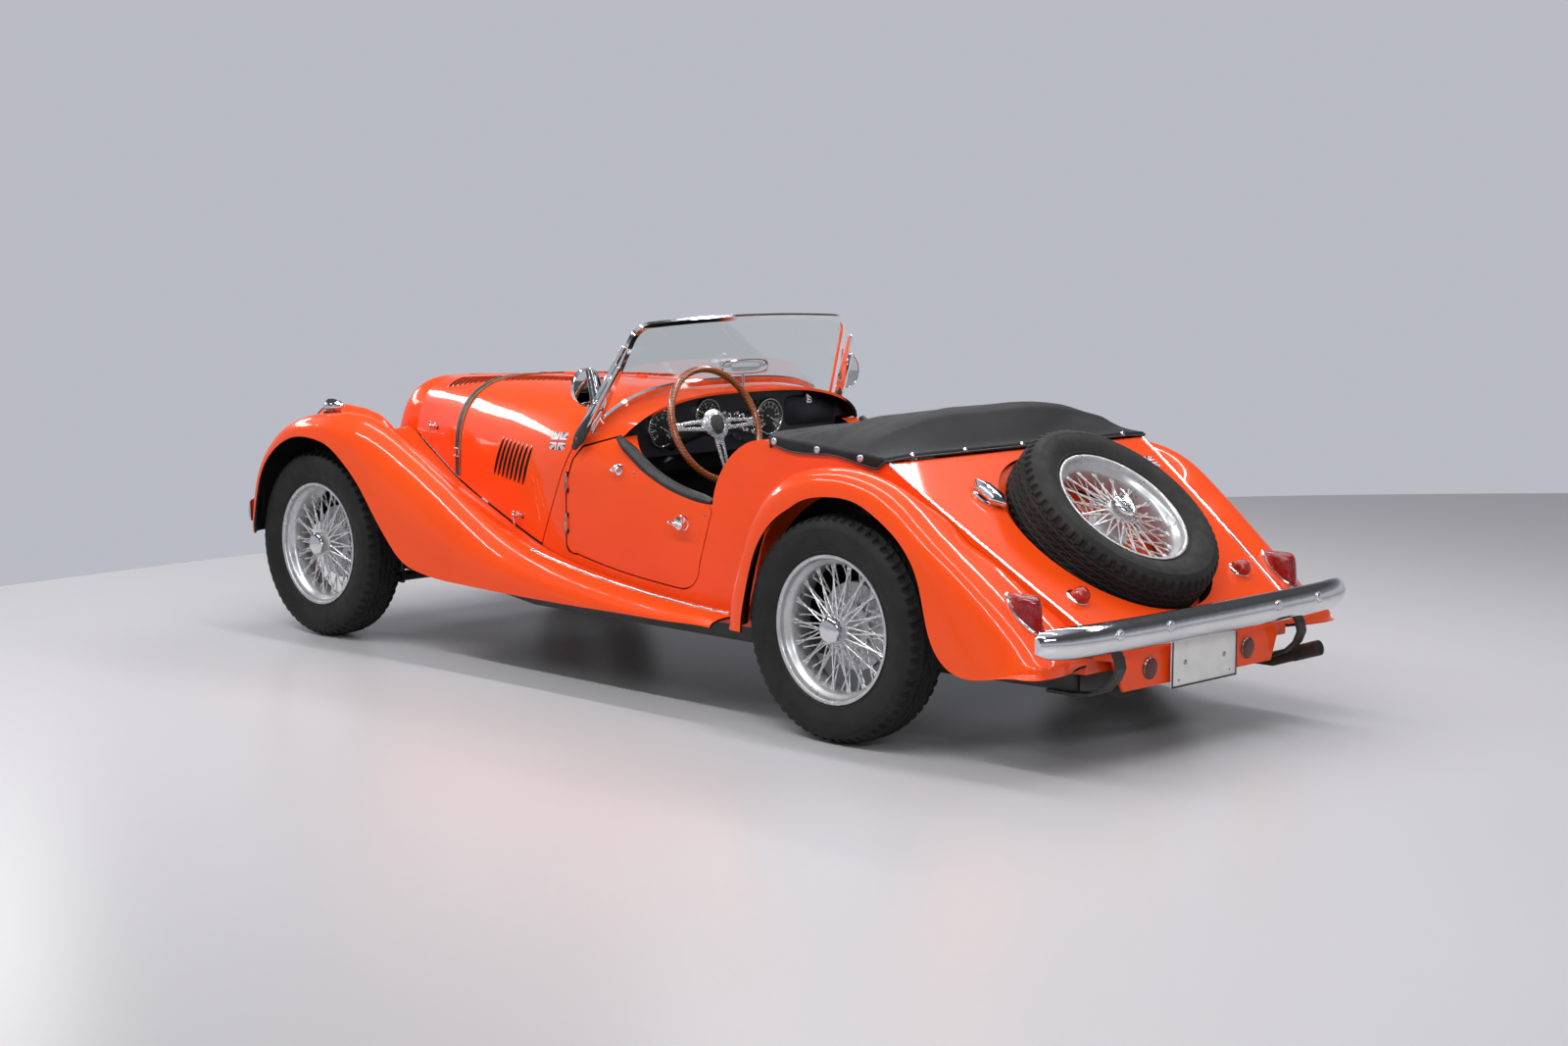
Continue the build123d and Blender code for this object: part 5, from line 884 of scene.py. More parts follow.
def flag(name, grid, body):
    """Common national flag: crosses of white and red on blue, in thin layers on a rectangle of surface.
    grid(u, v, lift) gives the place at shares across and up."""
    shape, steps = Shape(), [i / 6 for i in range(7)]

    def patch(lift, skin, *corners):
        (a, b), (c, d), (e, f), (g, h) = corners
        shape.rows([[grid((a * (1 - s) + c * s) * (1 - t) + (g * (1 - s) + e * s) * t,
                          (b * (1 - s) + d * s) * (1 - t) + (h * (1 - s) + f * s) * t, lift)
                     for t in steps] for s in steps], skin=skin)

    patch(0.45, 0, (0, 0), (1, 0), (1, 1), (0, 1))
    for band, lift, skin in ((0.13, 0.60, 1), (0.045, 0.80, 2)):
        patch(lift, skin, (0, band), (0, 0), (1, 1 - band), (1, 1))
        patch(lift, skin, (band, 0), (0, 0), (1 - band, 1), (1, 1))
        patch(lift + 0.04, skin, (0, 1 - band), (0, 1), (1, band), (1, 0))
        patch(lift + 0.04, skin, (band, 1), (0, 1), (1 - band, 0), (1, 0))
    for high, wide, lift, skin in ((0.18, 0.115, 1.0, 1), (0.085, 0.05, 1.25, 2)):
        patch(lift, skin, (0, 0.5 - high), (1, 0.5 - high), (1, 0.5 + high), (0, 0.5 + high))
        patch(lift + 0.04, skin, (0.5 - wide, 0), (0.5 + wide, 0), (0.5 + wide, 1), (0.5 - wide, 1))
    shape.piece(name, ["blue", "white", "badge_red"], body, "body_paint", merge=False)


def make_flags():
    def on_bonnet(u, v, lift):
        place, _ = land("bonnet_left", (359 - 84 * u, 700, 708 + 54 * v + 3 * u), (0, -1, 0))
        return place + Vector((0, 0.93, 0.36)) * lift

    def on_deck(u, v, lift):
        corner = Vector((-1222, -438, deck_z(-1222)))
        return corner + Vector((0, -78 * u, 0)) + DECK_ALONG * (50 * v) + DECK_UP * lift

    flag("flag_badge_side", on_bonnet, "bonnet_left")
    flag("flag_badge_deck", on_deck, CAR)


# ---- Soft parts ----------------------------------------------------------------------------
SEAT_LEAN = math.atan2(62.0, 360.0)
# Left-hand pads: kind, middle, length direction, outward direction, half sizes and faces along each.
SEAT_PADS = [
    ("cushion", (-352.0, 309.0, 341.0), (1, 0, 0.05), (-0.05, 0, 1), (240.0, 180.0, 62.0), (36, 72, 12)),
    ("back", (-596.0, 309.0, 575.0), (-math.sin(SEAT_LEAN), 0, math.cos(SEAT_LEAN)),
     (math.cos(SEAT_LEAN), 0, math.sin(SEAT_LEAN)), (178.0, 180.0, 38.0), (30, 72, 10)),
]
SEAMS = [-120 + 40 * i for i in range(7)]
SEAM_DEPTH, SEAM_WIDTH = 7.0, 4.5
PIPING_R = 5.0
COVER_BACK, COVER_FRONT = -1104.0, -640.0
COVER_ACROSS, COVER_ALONG = 132, 74
HOOD_BOWS = (-985.0, -835.0)
# Heights at places along the car: the body's top edge behind the doors, and the cover's middle line.
TUB_TOP = [(-1109, 775), (-900, 789), (-700, 803), (-622, 806), (-555, 794)]
COVER_CREST = [(-1104, 792), (-1085, 806), (-1050, 842), (-1010, 880), (-960, 893), (-900, 890),
               (-800, 872), (-720, 852), (-640, 838)]


def pad_form(half, counts, power=6.0):
    """Rounded cushion form about its own middle."""
    shape = Shape()
    for axis in range(3):
        across, along = (axis + 1) % 3, (axis + 2) % 3
        for sign in (1, -1):
            rows = []
            for i in range(counts[across] + 1):
                row = []
                for k in range(counts[along] + 1):
                    q = [0.0, 0.0, 0.0]
                    q[axis] = sign
                    q[across], q[along] = -1 + 2 * i / counts[across], -1 + 2 * k / counts[along]
                    size = sum(abs(c) ** power for c in q) ** (1 / power)
                    row.append(Vector([c / size * h for c, h in zip(q, half)]))
                rows.append(row)
            shape.rows(rows, flip=sign < 0)
    return shape


def puff(thing, pressure=4.0, cap=0.008):
    """Swells a pad with Blender's cloth for a moment; no point ends over cap metres from where it began."""
    scene = bpy.context.scene
    start = [v.co.copy() for v in thing.data.vertices]
    cloth = thing.modifiers.new("cloth", "CLOTH")
    cloth.settings.quality = 5
    cloth.settings.use_pressure = True
    cloth.settings.uniform_pressure_force = pressure
    cloth.settings.tension_stiffness = cloth.settings.compression_stiffness = 30
    cloth.settings.effector_weights.gravity = 0.0
    for number in range(1, 21):
        scene.frame_set(number)
    shown = thing.evaluated_get(bpy.context.evaluated_depsgraph_get())
    ends = [v.co.copy() for v in shown.data.vertices]
    thing.modifiers.remove(cloth)
    scene.frame_set(1)
    for vertex, a, b in zip(thing.data.vertices, start, ends):
        shift = b - a
        if shift.length > cap:
            shift *= cap / shift.length
        vertex.co = a + shift
    thing.data.update()


def sew(thing, matrix, half):
    """Sewn channels across the swollen pad's face; the seams are places along its second axis."""
    back, turn = matrix.inverted(), matrix.to_3x3()
    for vertex in thing.data.vertices:
        q = back @ (vertex.co / MM)
        if q.z < -half[2] * 0.15:
            continue
        u, v = q.x / half[0], q.y / half[1]
        fade = max(0.0, 1 - abs(u) ** 10) * max(0.0, min(1.0, (q.z + half[2] * 0.15) / (half[2] * 0.5)))
        near = min(abs(q.y - s) for s in SEAMS)
        crown = 5.0 * max(0.0, 1 - u * u) * max(0.0, 1 - v * v)
        drop = SEAM_DEPTH * math.exp(-(near / SEAM_WIDTH) ** 2) * fade
        vertex.co += turn @ Vector((0, 0, crown - drop)) * MM
    thing.data.update()


def make_seats():
    for hand, side in SIDES:
        for kind, (x, y, z), along, up, half, counts in SEAT_PADS:
            matrix = placed((x, y * hand, z), up, along)
            thing = pad_form(half, counts).moved(matrix).piece(
                f"seat_{kind}_{side}", "vinyl", slot="black_vinyl", angle=180,
                replaces=("seats",) if (kind, side) == ("cushion", "left") else ())
            puff(thing)
            sew(thing, matrix, half)
            loop = [matrix @ Vector((a * (half[0] - 3), b * (half[1] - 3), half[2] * 0.72))
                    for a, b in squarish(96, 6)]
            Shape().tube(loop, PIPING_R, 8, closed=True, up=up).piece(
                f"seat_{kind}_piping_{side}", "piping", slot="black_vinyl", angle=180)


def height_at(x, line):
    return float(np.interp(x, [p[0] for p in line], [p[1] for p in line]))


def cover_point(s, t):
    """Cloth over the folded hood: s from one side to the other, t from the tail edge to the front edge."""
    lead = abs(s)
    x = COVER_BACK + (COVER_FRONT - COVER_BACK) * t
    x += (26.0 * max(0.0, lead - 0.80) / 0.20 * max(0.0, t - 0.8) / 0.2
          * (1 - max(0.0, lead - 0.93) / 0.07 * 1.6))
    foot_x = min(x, -606.0)
    y = (side_at(foot_x) + 6.0) * s
    edge = height_at(foot_x, TUB_TOP) + 20.0 - 5.0 * max(0.0, lead - 0.86) / 0.14
    z = edge + max(height_at(x, COVER_CREST) - edge, 0.0) * (1 - lead ** 3.2)
    bows = max(math.exp(-((x - bow) / 34.0) ** 2) for bow in HOOD_BOWS)
    inner = min(1.0, (1 - lead) * 7) * min(1.0, t * 10) * min(1.0, (1 - t) * 8)
    z += inner * (5.0 * bows - 3.0)
    fold = noise.noise(Vector((x * 0.012 + 0.004 * y, y * 0.0025, 1.7)))
    wander = noise.noise(Vector((x * 0.0045, y * 0.0022, 0.3)))
    fan = math.sin(x * 0.085 + 4.0 * wander + abs(y) * 0.012) * max(0.0, lead - 0.45) * 3.2
    return Vector((x, y, z + inner * (9.5 * fold + 1.3 * fan)))


def with_side_hems(rows):
    """The cover's rows with the cloth that hangs over the body's edge on both sides."""
    full = []
    for k, row in enumerate(rows):
        t = k / COVER_ALONG
        left, right = [], []
        for drop, out in ((5, 1.5), (12, 2.0), (20, 1.5), (26, 0.5)):
            wave = 2.5 * noise.noise(Vector((row[0].x * 0.013, drop * 0.02, 4.1)))
            for hand, end, hem in ((-1, row[0], left), (1, row[-1], right)):
                corner = math.sqrt(max(0.0, 1 - max(0.0, (t - 0.90) / 0.10) ** 2)) * min(1.0, 0.35 + t * 12)
                low = end.z - drop * corner * (1.0 + 0.25 * math.sin(t * 9.0 + hand))
                hem.append(Vector((end.x, end.y + hand * (out + 0.4 * wave), low)))
        full.append(left[::-1] + row + right)
    return full


def end_hem(row, drops, corner, ease=0.0):
    """Rows of cloth that hang from a row, with less of it at the corners and less reach at the sides."""
    return [[Vector((p.x + ahead * (1 - ease * abs(p.y) / 560), p.y,
                     p.z - drop * (1 if 4 <= i < len(row) - 4 else corner))) for i, p in enumerate(row)]
            for drop, ahead in drops]


def make_hood_cover():
    rows = []
    for k in range(COVER_ALONG + 1):
        row = []
        for i in range(COVER_ACROSS + 1):
            s = -1 + 2 * i / COVER_ACROSS
            row.append(cover_point(math.copysign(abs(s) ** 0.86, s), k / COVER_ALONG))
        rows.append(row)
    full = with_side_hems(rows)
    first = full[0]
    front = end_hem(full[-1], ((6, 3), (14, 4.5), (24, 3.5), (32, 1.0)), 0.35, 0.4)
    back = end_hem(first, ((5, -2.5), (10, -3.5)), 0.3)
    full = back[::-1] + full + front
    thing = Shape().rows(full).piece("hood_cover_cloth", "hood", slot="black_vinyl", angle=180,
                                     replaces=("hood_cover",))
    solid = thing.modifiers.new("thickness", "SOLIDIFY")
    solid.thickness, solid.offset = 0.0022, -1
    bpy.context.view_layer.update()
    baked = bpy.data.meshes.new_from_object(thing.evaluated_get(bpy.context.evaluated_depsgraph_get()))
    thing.modifiers.remove(solid)
    thing.data = baked
    trim = Shape()
    for edge in ([row[0] for row in full], [row[-1] for row in full], full[-1], full[0]):
        trim.tube(edge, 3.2, 8)
    piping = trim.piece("hood_cover_piping", "piping", slot="black_vinyl", angle=180)
    snaps = Shape()
    for hand in HANDS:
        for x in (-672, -845, -1019):
            row = min(rows, key=lambda r: abs(r[0].x - x))
            end = row[-1] if hand > 0 else row[0]
            place, out = (end.x, end.y + hand * 2.0, end.z - 11), (0, hand, 0.12)
            snaps.dome(place, out, 9.0, 4.0, 0, 20)
            snaps.turned([(11.5, -1), (11.5, 1.2), (9, 1.8)], place, out, 24)
    for y in (-470, -250, 0, 250, 470):
        end = min(first, key=lambda p: abs(p.y - y))
        snaps.dome((end.x - 4, end.y, end.z - 3), (-0.8, 0, 0.6), 8.0, 3.5, 0, 20)
    buttons = snaps.piece("hood_cover_snaps", "chrome", slot="chrome")
    width = sum((b - a).length for a, b in zip(full[40], full[40][1:])) * MM
    length = sum((b[60] - a[60]).length for a, b in zip(full, full[1:])) * MM


# ---- Steering wheel ------------------------------------------------------------------------
STEER_CENTRE = Vector((-136.0, 288.0, 803.0))
STEER_AXIS = Vector((-math.cos(math.radians(20)), 0, math.sin(math.radians(20))))
WHEEL_R, GRIP_R, GRIP_SPAN = 177, 11.2, 10.6


def slotted(shape, outer, inner, low, high):
    """Flat bar with a long hole: two outlines of (along, across) points, joined all round."""
    def ring(points, z, wide=1.0):
        return [(a, b * wide, z) for a, b in points]

    mid = [((a + c) / 2, (b + d) / 2, high + 0.6) for (a, b), (c, d) in zip(outer, inner)]
    rows = [ring(outer, low), ring(outer, high - 0.8), ring(outer, high, 0.96), mid, ring(inner, high, 1.06),
            ring(inner, high - 0.8), ring(inner, low)]
    return shape.rows(rows, round_rows=True, round_cols=True)


def spoke_outline(r0, r1, w0, w1, count=10):
    """Tapered loop with round ends; (radius, across)."""
    points = []
    for r, w, start in ((r0, w0, math.pi / 2), (r1, w1, -math.pi / 2)):
        for i in range(count + 1):
            angle = start + math.pi * i / count
            points.append((r + w * math.cos(angle), w * math.sin(angle)))
    return points


def make_steering_wheel():
    matrix = placed(STEER_CENTRE, STEER_AXIS, (0, 1, 0))
    shape = Shape()
    for turn in (0.0, 180.0, 90.0):
        spoke = slotted(Shape(), spoke_outline(44, 154, 19, 12), spoke_outline(66, 128, 5.0, 3.2), -2.0, 1.6)
        spoke.block((148, -12.5, -2), (171, 12.5, 1.6), 0, 0.8)
        for y in (-6, 6):
            spoke.dome((162, y, 1.4), UP, 3.0, 1.4, 1, 14)
        shape.join(spoke.moved(Matrix.Rotation(math.radians(turn), 4, "Z")))
    shape.turned([(0, -3), (47, -3), (49, -1), (49, 2), (47, 4), (41, 5), (40, 6.4), (36, 7.2), (35.5, 6.2),
                  (33, 6.2), (32.5, 9), (29.5, 10.2), (28.5, 9.2)], steps=64)
    shape.turned([(28.6, 9), (27, 10.6), (20, 12.6), (10, 13.6), (0, 13.9)], steps=48, skin=2)
    for c, s in circle(9):
        shape.dome((43.8 * c, 43.8 * s, 4.4), UP, 2.6, 1.6, 1, 12)
    shape.turned([(0, -2), (44, -2), (43, -12), (30, -24), (25, -46), (0, -46)], steps=40, skin=2)
    shape.moved(matrix).piece("steering_wheel_spokes", ["aluminium", "dark_chrome", "rubber"],
                              "steering_wheel", "chrome", 35)
    rows = []
    for i, (across, along) in enumerate(circle(160)):
        row = []
        for c, s in circle(20):
            ribbed = -2.2 < math.atan2(s, c) < -0.9
            grip = 1.0 + (0.07 * (0.5 + 0.5 * math.cos(40 * 2 * math.pi * i / 160)) if ribbed else 0)
            r = WHEEL_R + GRIP_R * c * grip
            row.append((r * across, r * along, GRIP_SPAN * s * grip))
        rows.append(row)
    Shape().rows(rows, round_rows=True, round_cols=True).moved(matrix).piece(
        "steering_wheel_rim", "wood", "steering_wheel", "wheel_rim_wood", 180, ("steering_wheel",))


# ---- Dashboard and mirrors -----------------------------------------------------------------
DASH_FACE = 62.0
MIRROR_X, MIRROR_Y, MIRROR_Z = 127.0, 577.0, 916.0
DIAL_FACE = DASH_FACE - 5.0
# Each dial's place across and up, radius and number of gaps between its marks.
DIALS = [(333.0, 781.0, 57.0, 24), (138.0, 811.0, 50.0, 16), (-135.0, 791.0, 57.0, 30)]
KNOBS = [(208, 748, 8), (62, 806, 11), (62, 770, 9), (30, 792, 8), (4, 800, 13), (4, 760, 9), (-38, 748, 9),
         (38, 742, 8), (250, 724, 7), (-40, 812, 8), (-10, 722, 7), (-64, 842, 8)]
SEGMENTS = {0: "abcdef", 1: "bc", 2: "abged", 3: "abgcd", 4: "fgbc", 5: "afgcd", 6: "afgedc", 7: "abc",
            8: "abcdefg", 9: "abcdfg"}


def numeral(shape, place, number):
    """A small digit made of straight strokes, as seen from the driver's side."""
    w, h, thick = 1.9, 3.1, 0.45
    lines = {"a": ((-w, h), (w, h)), "b": ((w, h), (w, 0)), "c": ((w, 0), (w, -h)), "d": ((-w, -h), (w, -h)),
             "e": ((-w, -h), (-w, 0)), "f": ((-w, 0), (-w, h)), "g": ((-w, 0), (w, 0))}
    for key in SEGMENTS[number]:
        (a, b), (c, d) = lines[key]
        wide = Vector((0, -(c - a), d - b)).normalized().cross(REARWARD) * thick
        p, q = (place + Vector((0, -y, z)) + REARWARD * 1.2 for y, z in ((a, b), (c, d)))
        shape.add([p + wide, q + wide, q - wide, p - wide], [(0, 1, 2, 3)], 1)


def make_dials():
    bezels, faces = Shape(), Shape()
    for y, z, r, count in DIALS:
        centre = Vector((DIAL_FACE, y, z))
        bezels.turned([(r - 4, -0.5), (r - 4, 3.2), (r - 2.5, 5.2), (r, 6.2), (r + 2.6, 5.0), (r + 3.6, 2.6),
                       (r + 3.6, -4.6)], centre, REARWARD, 72)
        faces.turned([(r - 3.5, 0.3), (r - 4.5, 0.8), (0, 0.9)], centre, REARWARD, 72)
        for i in range(count + 1):
            angle = math.radians(-135 + 270 * i / count)
            big = i % 3 == 0
            length, wide = (9.0, 1.6) if big else (5.0, 0.9)
            away = Vector((0, math.sin(angle), math.cos(angle)))
            side = Vector((0, math.cos(angle), -math.sin(angle)))
            a, b = centre + away * (r - 8), centre + away * (r - 8 - length)
            corners = [a + side * wide, a - side * wide, b - side * wide, b + side * wide]
            faces.add([p + REARWARD * lift for lift in (0.8, 1.3) for p in corners],
                      [(4, 5, 6, 7), (0, 1, 5, 4), (1, 2, 6, 5), (2, 3, 7, 6), (3, 0, 4, 7)], 1)
            if big:
                for k, shift in enumerate((-3.0, 3.0)):
                    numeral(faces, centre + away * (r - 24) + Vector((0, shift, 0)),
                            (i // 3 * 2 + k * 5) % 10)
        lean = math.radians(-118 if r > 55 else -60)
        away = Vector((0, math.sin(lean), math.cos(lean)))
        hub = centre + REARWARD * 3
        faces.tube([hub - away * 10, hub, hub + away * (r - 16)], [2.2, 1.8, 0.6], 6, 1)
        faces.turned([(6, 1), (6, 3.5), (4.5, 4.5), (0, 4.8)], centre, REARWARD, 20)
    bezels.piece("dial_bezels", "chrome", slot="chrome", angle=60)
    faces.piece("dial_faces", ["dial", "white"], slot="black_vinyl", angle=30)


def make_dash_fittings():
    shape = Shape()
    for y, z, r in KNOBS:
        profile = [(r + 2.5, 0), (r + 2.5, 2), (r, 3), (r * 0.45, 4), (r * 0.45, 12), (r * 0.85, 14), (r, 17),
                   (r, 22), (r * 0.8, 25), (0, 26)]
        shape.turned(profile, (DASH_FACE, y, z), REARWARD, 24, 0 if r > 8 else 1)
    for y in (96, -78, -100):
        shape.turned([(6, 0), (6, 2), (3, 3), (3, 8)], (DASH_FACE, y, 738), REARWARD, 16)
        shape.tube([(DASH_FACE - 6, y, 738), (DASH_FACE - 22, y, 744)], [2.0, 3.4], 10)
    # Ignition lock with its key and ring.
    shape.turned([(11, 0), (11, 3), (8, 5), (0, 5.5)], (DASH_FACE, -62, 766), REARWARD, 28)
    shape.block((DASH_FACE - 24, -63.2, 760), (DASH_FACE - 5, -60.8, 772), 0, 0.6)
    shape.tube([(DASH_FACE - 22, -62 + 11 * s, 750 + 11 * c) for c, s in circle(28)], 1.1, 6, closed=True)
    # Lock of the glovebox.
    shape.block((DASH_FACE - 12, -329, 826), (DASH_FACE - 3, -303, 862), 0, 3.0)
    shape.turned([(6, 0), (6, 4), (4, 6), (0, 6.4)], (DASH_FACE - 11, -316, 836), REARWARD, 20)
    shape.piece("dash_fittings", ["chrome", "rubber"], slot="chrome", angle=40)
    rows = [[(DASH_FACE - lift, -330 + (116 - inset) * a, 804 + (49 - inset) * b) for a, b in squarish(64, 7)]
            for lift, inset in ((-1, 0), (2.2, 0), (3.4, 1.6))]
    lid = Shape().rows(rows, round_cols=True).lid(rows[-1])
    lid.piece("glovebox_lid", "dash", slot="black_vinyl", angle=40)


def make_mirror_glass():
    """Glasses of the two round mirrors on the scuttle and of the squarer one inside."""
    shape = Shape()
    for hand in HANDS:
        place = (MIRROR_X, hand * MIRROR_Y, MIRROR_Z)
        shape.turned([(58.5, -1), (59, 1.5), (57.5, 3), (55.5, 3), (54.5, 1.4)], place, REARWARD, 64, 1)
        shape.turned([(54.6, 1.0), (40, 1.9), (20, 2.5), (0, 2.7)], place, REARWARD, 64)
    rings = ((-1, 103, 24), (2.0, 103, 24), (3.6, 100, 21.5), (2.6, 97, 19), (3.4, 60, 12), (3.6, 1, 1))
    rows = [[(50 - lift, -20 + wide * a, 957 + high * b) for a, b in squarish(56, 3.2)]
            for lift, wide, high in rings]
    shape.rows(rows[:4], round_cols=True, skin=1)
    shape.rows(rows[3:], round_cols=True)
    shape.piece("mirror_glasses", ["mirror", "chrome"], slot="chrome", angle=40)


# ---- Bonnet, doors and windscreen fittings -------------------------------------------------
STRAP_X = 1040.0
STRAP_EDGE = 18.4       # from the strap's middle to the middle of its edge trim
STRIP_REAR, STRIP_FRONT = -527, 359
HINGE_X, HINGE_Y = 250.5, 560.5
# Slanted louvres of the bonnet's side, first and last: the (x, z) of each lower and upper end.
SIDE_LOUVRES = (((752, 596), (686, 722)), ((534, 583), (473, 712)))
DOOR_ROLL = [(30, 0, 757), (8, 0, 742), (-30, 0, 718), (-78, 0, 686), (-140, 0, 654), (-208, 0, 628),
             (-300, 0, 607), (-386, 0, 594)]


def mix(a, b, share):
    return a + (b - a) * share


def louvre(shape, points, rear):
    """Raised blade with a black sheet behind it, painted shade in place of the open slot; points are (place,
    normal) along its length.
    """
    blade, slot = [], []
    for i, (place, normal) in enumerate(points):
        size = max(math.sin(math.pi * i / (len(points) - 1)), 0.0) ** 0.35
        back = square_to(Vector(rear), normal)
        ridge = [(-10, -0.4), (-9, 0.2), (-5, 2.4 * size), (0, 4.6 * size), (5, 6.0 * size), (8, 6.4 * size),
                 (9, 5.8 * size), (8.4, 5.2 * size - 0.2), (3, 3.8 * size - 0.2), (2, 0.4)]
        hole = [(2.0, 0.45), (9, 0.5), (9 + 7.5 * size, 0.35), (9 + 8 * size, -0.2)]
        for rows, outline in ((blade, ridge), (slot, hole)):
            rows.append([place + back * a + normal * b for a, b in outline])
    shape.rows(blade)
    shape.rows(slot, skin=1)


def make_louvres():
    shape = Shape()
    (first_low, first_high), (last_low, last_high) = SIDE_LOUVRES
    for i in range(8):
        low, high = ([mix(a, b, i / 7) for a, b in zip(first, last)]
                     for first, last in ((first_low, last_low), (first_high, last_high)))
        points = [land_beside("bonnet_left", mix(low[0], high[0], k / 16), mix(low[1], high[1], k / 16), 1)
                  for k in range(17)]
        louvre(shape, points, (-1, 0, -0.4))
    for x in range(1300, 560, -28):
        if not 1005 < x < 1075:     # the strap crosses here
            louvre(shape, [land_on("bonnet_left", x, 118 + 84 * k / 12, 1300) for k in range(13)], (-1, 0, 0))
    for form, side in ((shape, "left"), (shape.mirrored(), "right")):
        form.piece(f"bonnet_louvres_{side}", ["paint", "dark"], f"bonnet_{side}", "body_paint", 50)


def make_catches():
    for hand, side in SIDES:
        body = f"bonnet_{side}"
        shape = Shape()
        for x, z in ((1272, 706), (560, 479)):
            place, normal = land_beside(body, x, z, hand)
            shape.turned([(13, -1), (13, 1.4), (10, 2.6), (7, 3.2), (6.4, 13), (8, 14.5), (8, 19), (6, 21),
                          (0, 21.6)],
                         place, normal, 28)
            down = square_to(Vector((-0.15, 0, -1)), normal)
            knee = place + normal * 17
            shape.tube([knee - down * 15, knee - down * 6, knee + down * 8, knee + down * 24,
                        knee + down * 31 - normal * 3],
                       [4.2, 5.2, 4.6, 3.6, 2.4], 12)
            shape.tube([knee + down * 26 - normal * 11, knee + down * 27 - normal,
                        knee + down * 28 + normal * 2],
                       [2.2, 2.4, 2.0], 8)
        shape.piece(f"bonnet_catches_{side}", "chrome", body, "chrome", 35)
        buffers = Shape()
        for x, z in ((1240, 704), (526, 478)):
            place, normal = land_beside(body, x, z, hand)
            buffers.dome(place, normal, 8.0, 5.0)
        buffers.piece(f"bonnet_buffers_{side}", "reflector", body, "lamp_red", 40)


def land_on_strap(side, hand, degrees, x=STRAP_X):
    """Where the strap over the bonnet lies at an angle seen from ahead; 0 degrees is level, 90 is up."""
    angle = math.radians(degrees)
    start = Vector((x, hand * 900 * math.cos(angle), 600 + 900 * math.sin(angle)))
    return land(f"strap_{side}", start, Vector((0, -start.y, 600 - start.z)))


def make_strap_trim():
    """Edges, holes and buckle of each strap over the bonnet."""
    for hand, side in SIDES:
        shape = Shape()
        for edge in (-1, 1):
            path = []
            for i in range(70):
                try:
                    place, normal = land_on_strap(side, hand, 88.5 - 98 * i / 69,
                                                  STRAP_X + edge * STRAP_EDGE * 0.93)
                except RuntimeError:        # past an end of the strap
                    continue
                path.append(place + Vector((edge * 0.9, 0, 0)) - normal * 0.9)
            shape.tube(path, 1.8, 8)
        # The holes are small dark discs on the strap, painted shade where each hole would be.
        for i in range(6):
            place, normal = land_on_strap(side, hand, 12 + 5.0 * i)
            shape.turned([(2.6, 0.1), (2.6, 0.5), (1.8, 0.7), (0, 0.3)], place, normal, 12, 2)
        place, normal = land_on_strap(side, hand, 6)
        up = square_to(Vector(UP), normal)
        ahead = up.cross(normal).normalized()
        loop = [place + normal * 3.2 + up * (b * 13) + ahead * (a * 24) for a, b in
                ((-1, -1), (-0.4, -1), (0.4, -1), (1, -1), (1, 0), (1, 1), (0.4, 1), (-0.4, 1), (-1, 1),
                 (-1, 0))]
        shape.tube(loop, 2.4, 8, 1, closed=True)
        shape.tube([place + normal * 5 + up * 12, place + normal * 4.4 - up * 14], 1.8, 8, 1)
        shape.piece(f"strap_trim_{side}", ["edge", "chrome", "dark"], f"bonnet_{side}", "strap_leather", 60)


def make_door_trim():
    """Handle, lock and screws of each door, and the padded roll on its top."""
    for hand, side in SIDES:
        body = f"door_{side}"
        shape = Shape()
        base, out = Vector((-279, hand * 558.5, 536)), Vector((0, hand, 0))
        shape.turned([(23, -1), (23.5, 1.5), (21, 3), (20.6, 18), (19, 22.5), (14, 25), (9, 26), (8.4, 36),
                      (0, 36.4)],
                     base, out, 36)
        grip = ((30, 2), (24, 2), (8, 0), (-8, 0), (-26, -3), (-33, -4))
        shape.tube([base + out * 34 + Vector((x, 0, z)) for x, z in grip], [3.0, 5.4, 6.0, 6.0, 4.8, 2.6], 14)
        place, normal = land_beside(body, 6, 673, hand)
        shape.turned([(17, -1), (17.5, 1.6), (15, 3.2), (9, 4), (8.4, 12), (11, 14), (12, 19), (9.5, 23),
                      (0, 24)],
                     place, normal, 32)
        shape.tube([place + normal * 17 + Vector((-15, 0, 5)), place + normal * 17 + Vector((15, 0, -5))],
                   3.6)
        for x, z in ((-62, 668), (-372, 566)):
            place, normal = land_beside(body, x, z, hand)
            shape.dome(place, normal, 4.5, 2.6, 1, 14)
        shape.piece(f"door_fittings_{side}", ["chrome", "worn_chrome"], body, "chrome", 35)
        path = curve(DOOR_ROLL, 60)
        rows = []
        for i, (p, run) in enumerate(zip(path, steps_of(path))):
            up = Vector((-run.z, 0, run.x))
            up = -up if up.z < 0 else up
            t = i / 59
            size = min(1.0, 0.55 + 4 * t, 0.55 + 4 * (1 - t))
            middle = Vector((p.x, hand * 540, p.z))
            rows.append([middle + up * (11 + 15 * size * s) + Vector((0, 24 * size * c, 0))
                         for c, s in circle(20)])
        roll = Shape().rows(rows, round_cols=True).lid(rows[0]).lid(rows[-1])
        roll.piece(f"door_roll_{side}", "vinyl", body, "black_vinyl", 60)


def make_side_strips():
    shape = Shape()
    found = [land_on("wings_front", STRIP_FRONT - (STRIP_FRONT - STRIP_REAR) * i / 59, 608)
             for i in range(60)]
    for hand in HANDS:
        points, ups = ([(v.x, v.y * hand, v.z) for v in vectors] for vectors in zip(*found))
        shape.section(points, half_round(9, 0.35, 1.5), ups)
        shape.section([(x, y, z + 1.5) for x, y, z in points], half_round(3.2, 1.0, 1.5), ups, 1)
        for end, shift in ((0, -10), (-1, 10)):
            shape.dome(Vector(points[end]) + Vector((shift, 0, 2.5)), ups[end], 5, 3, 1, 16)
    shape.piece("running_board_strips", ["worn_chrome", "chrome"], slot="chrome", angle=50)


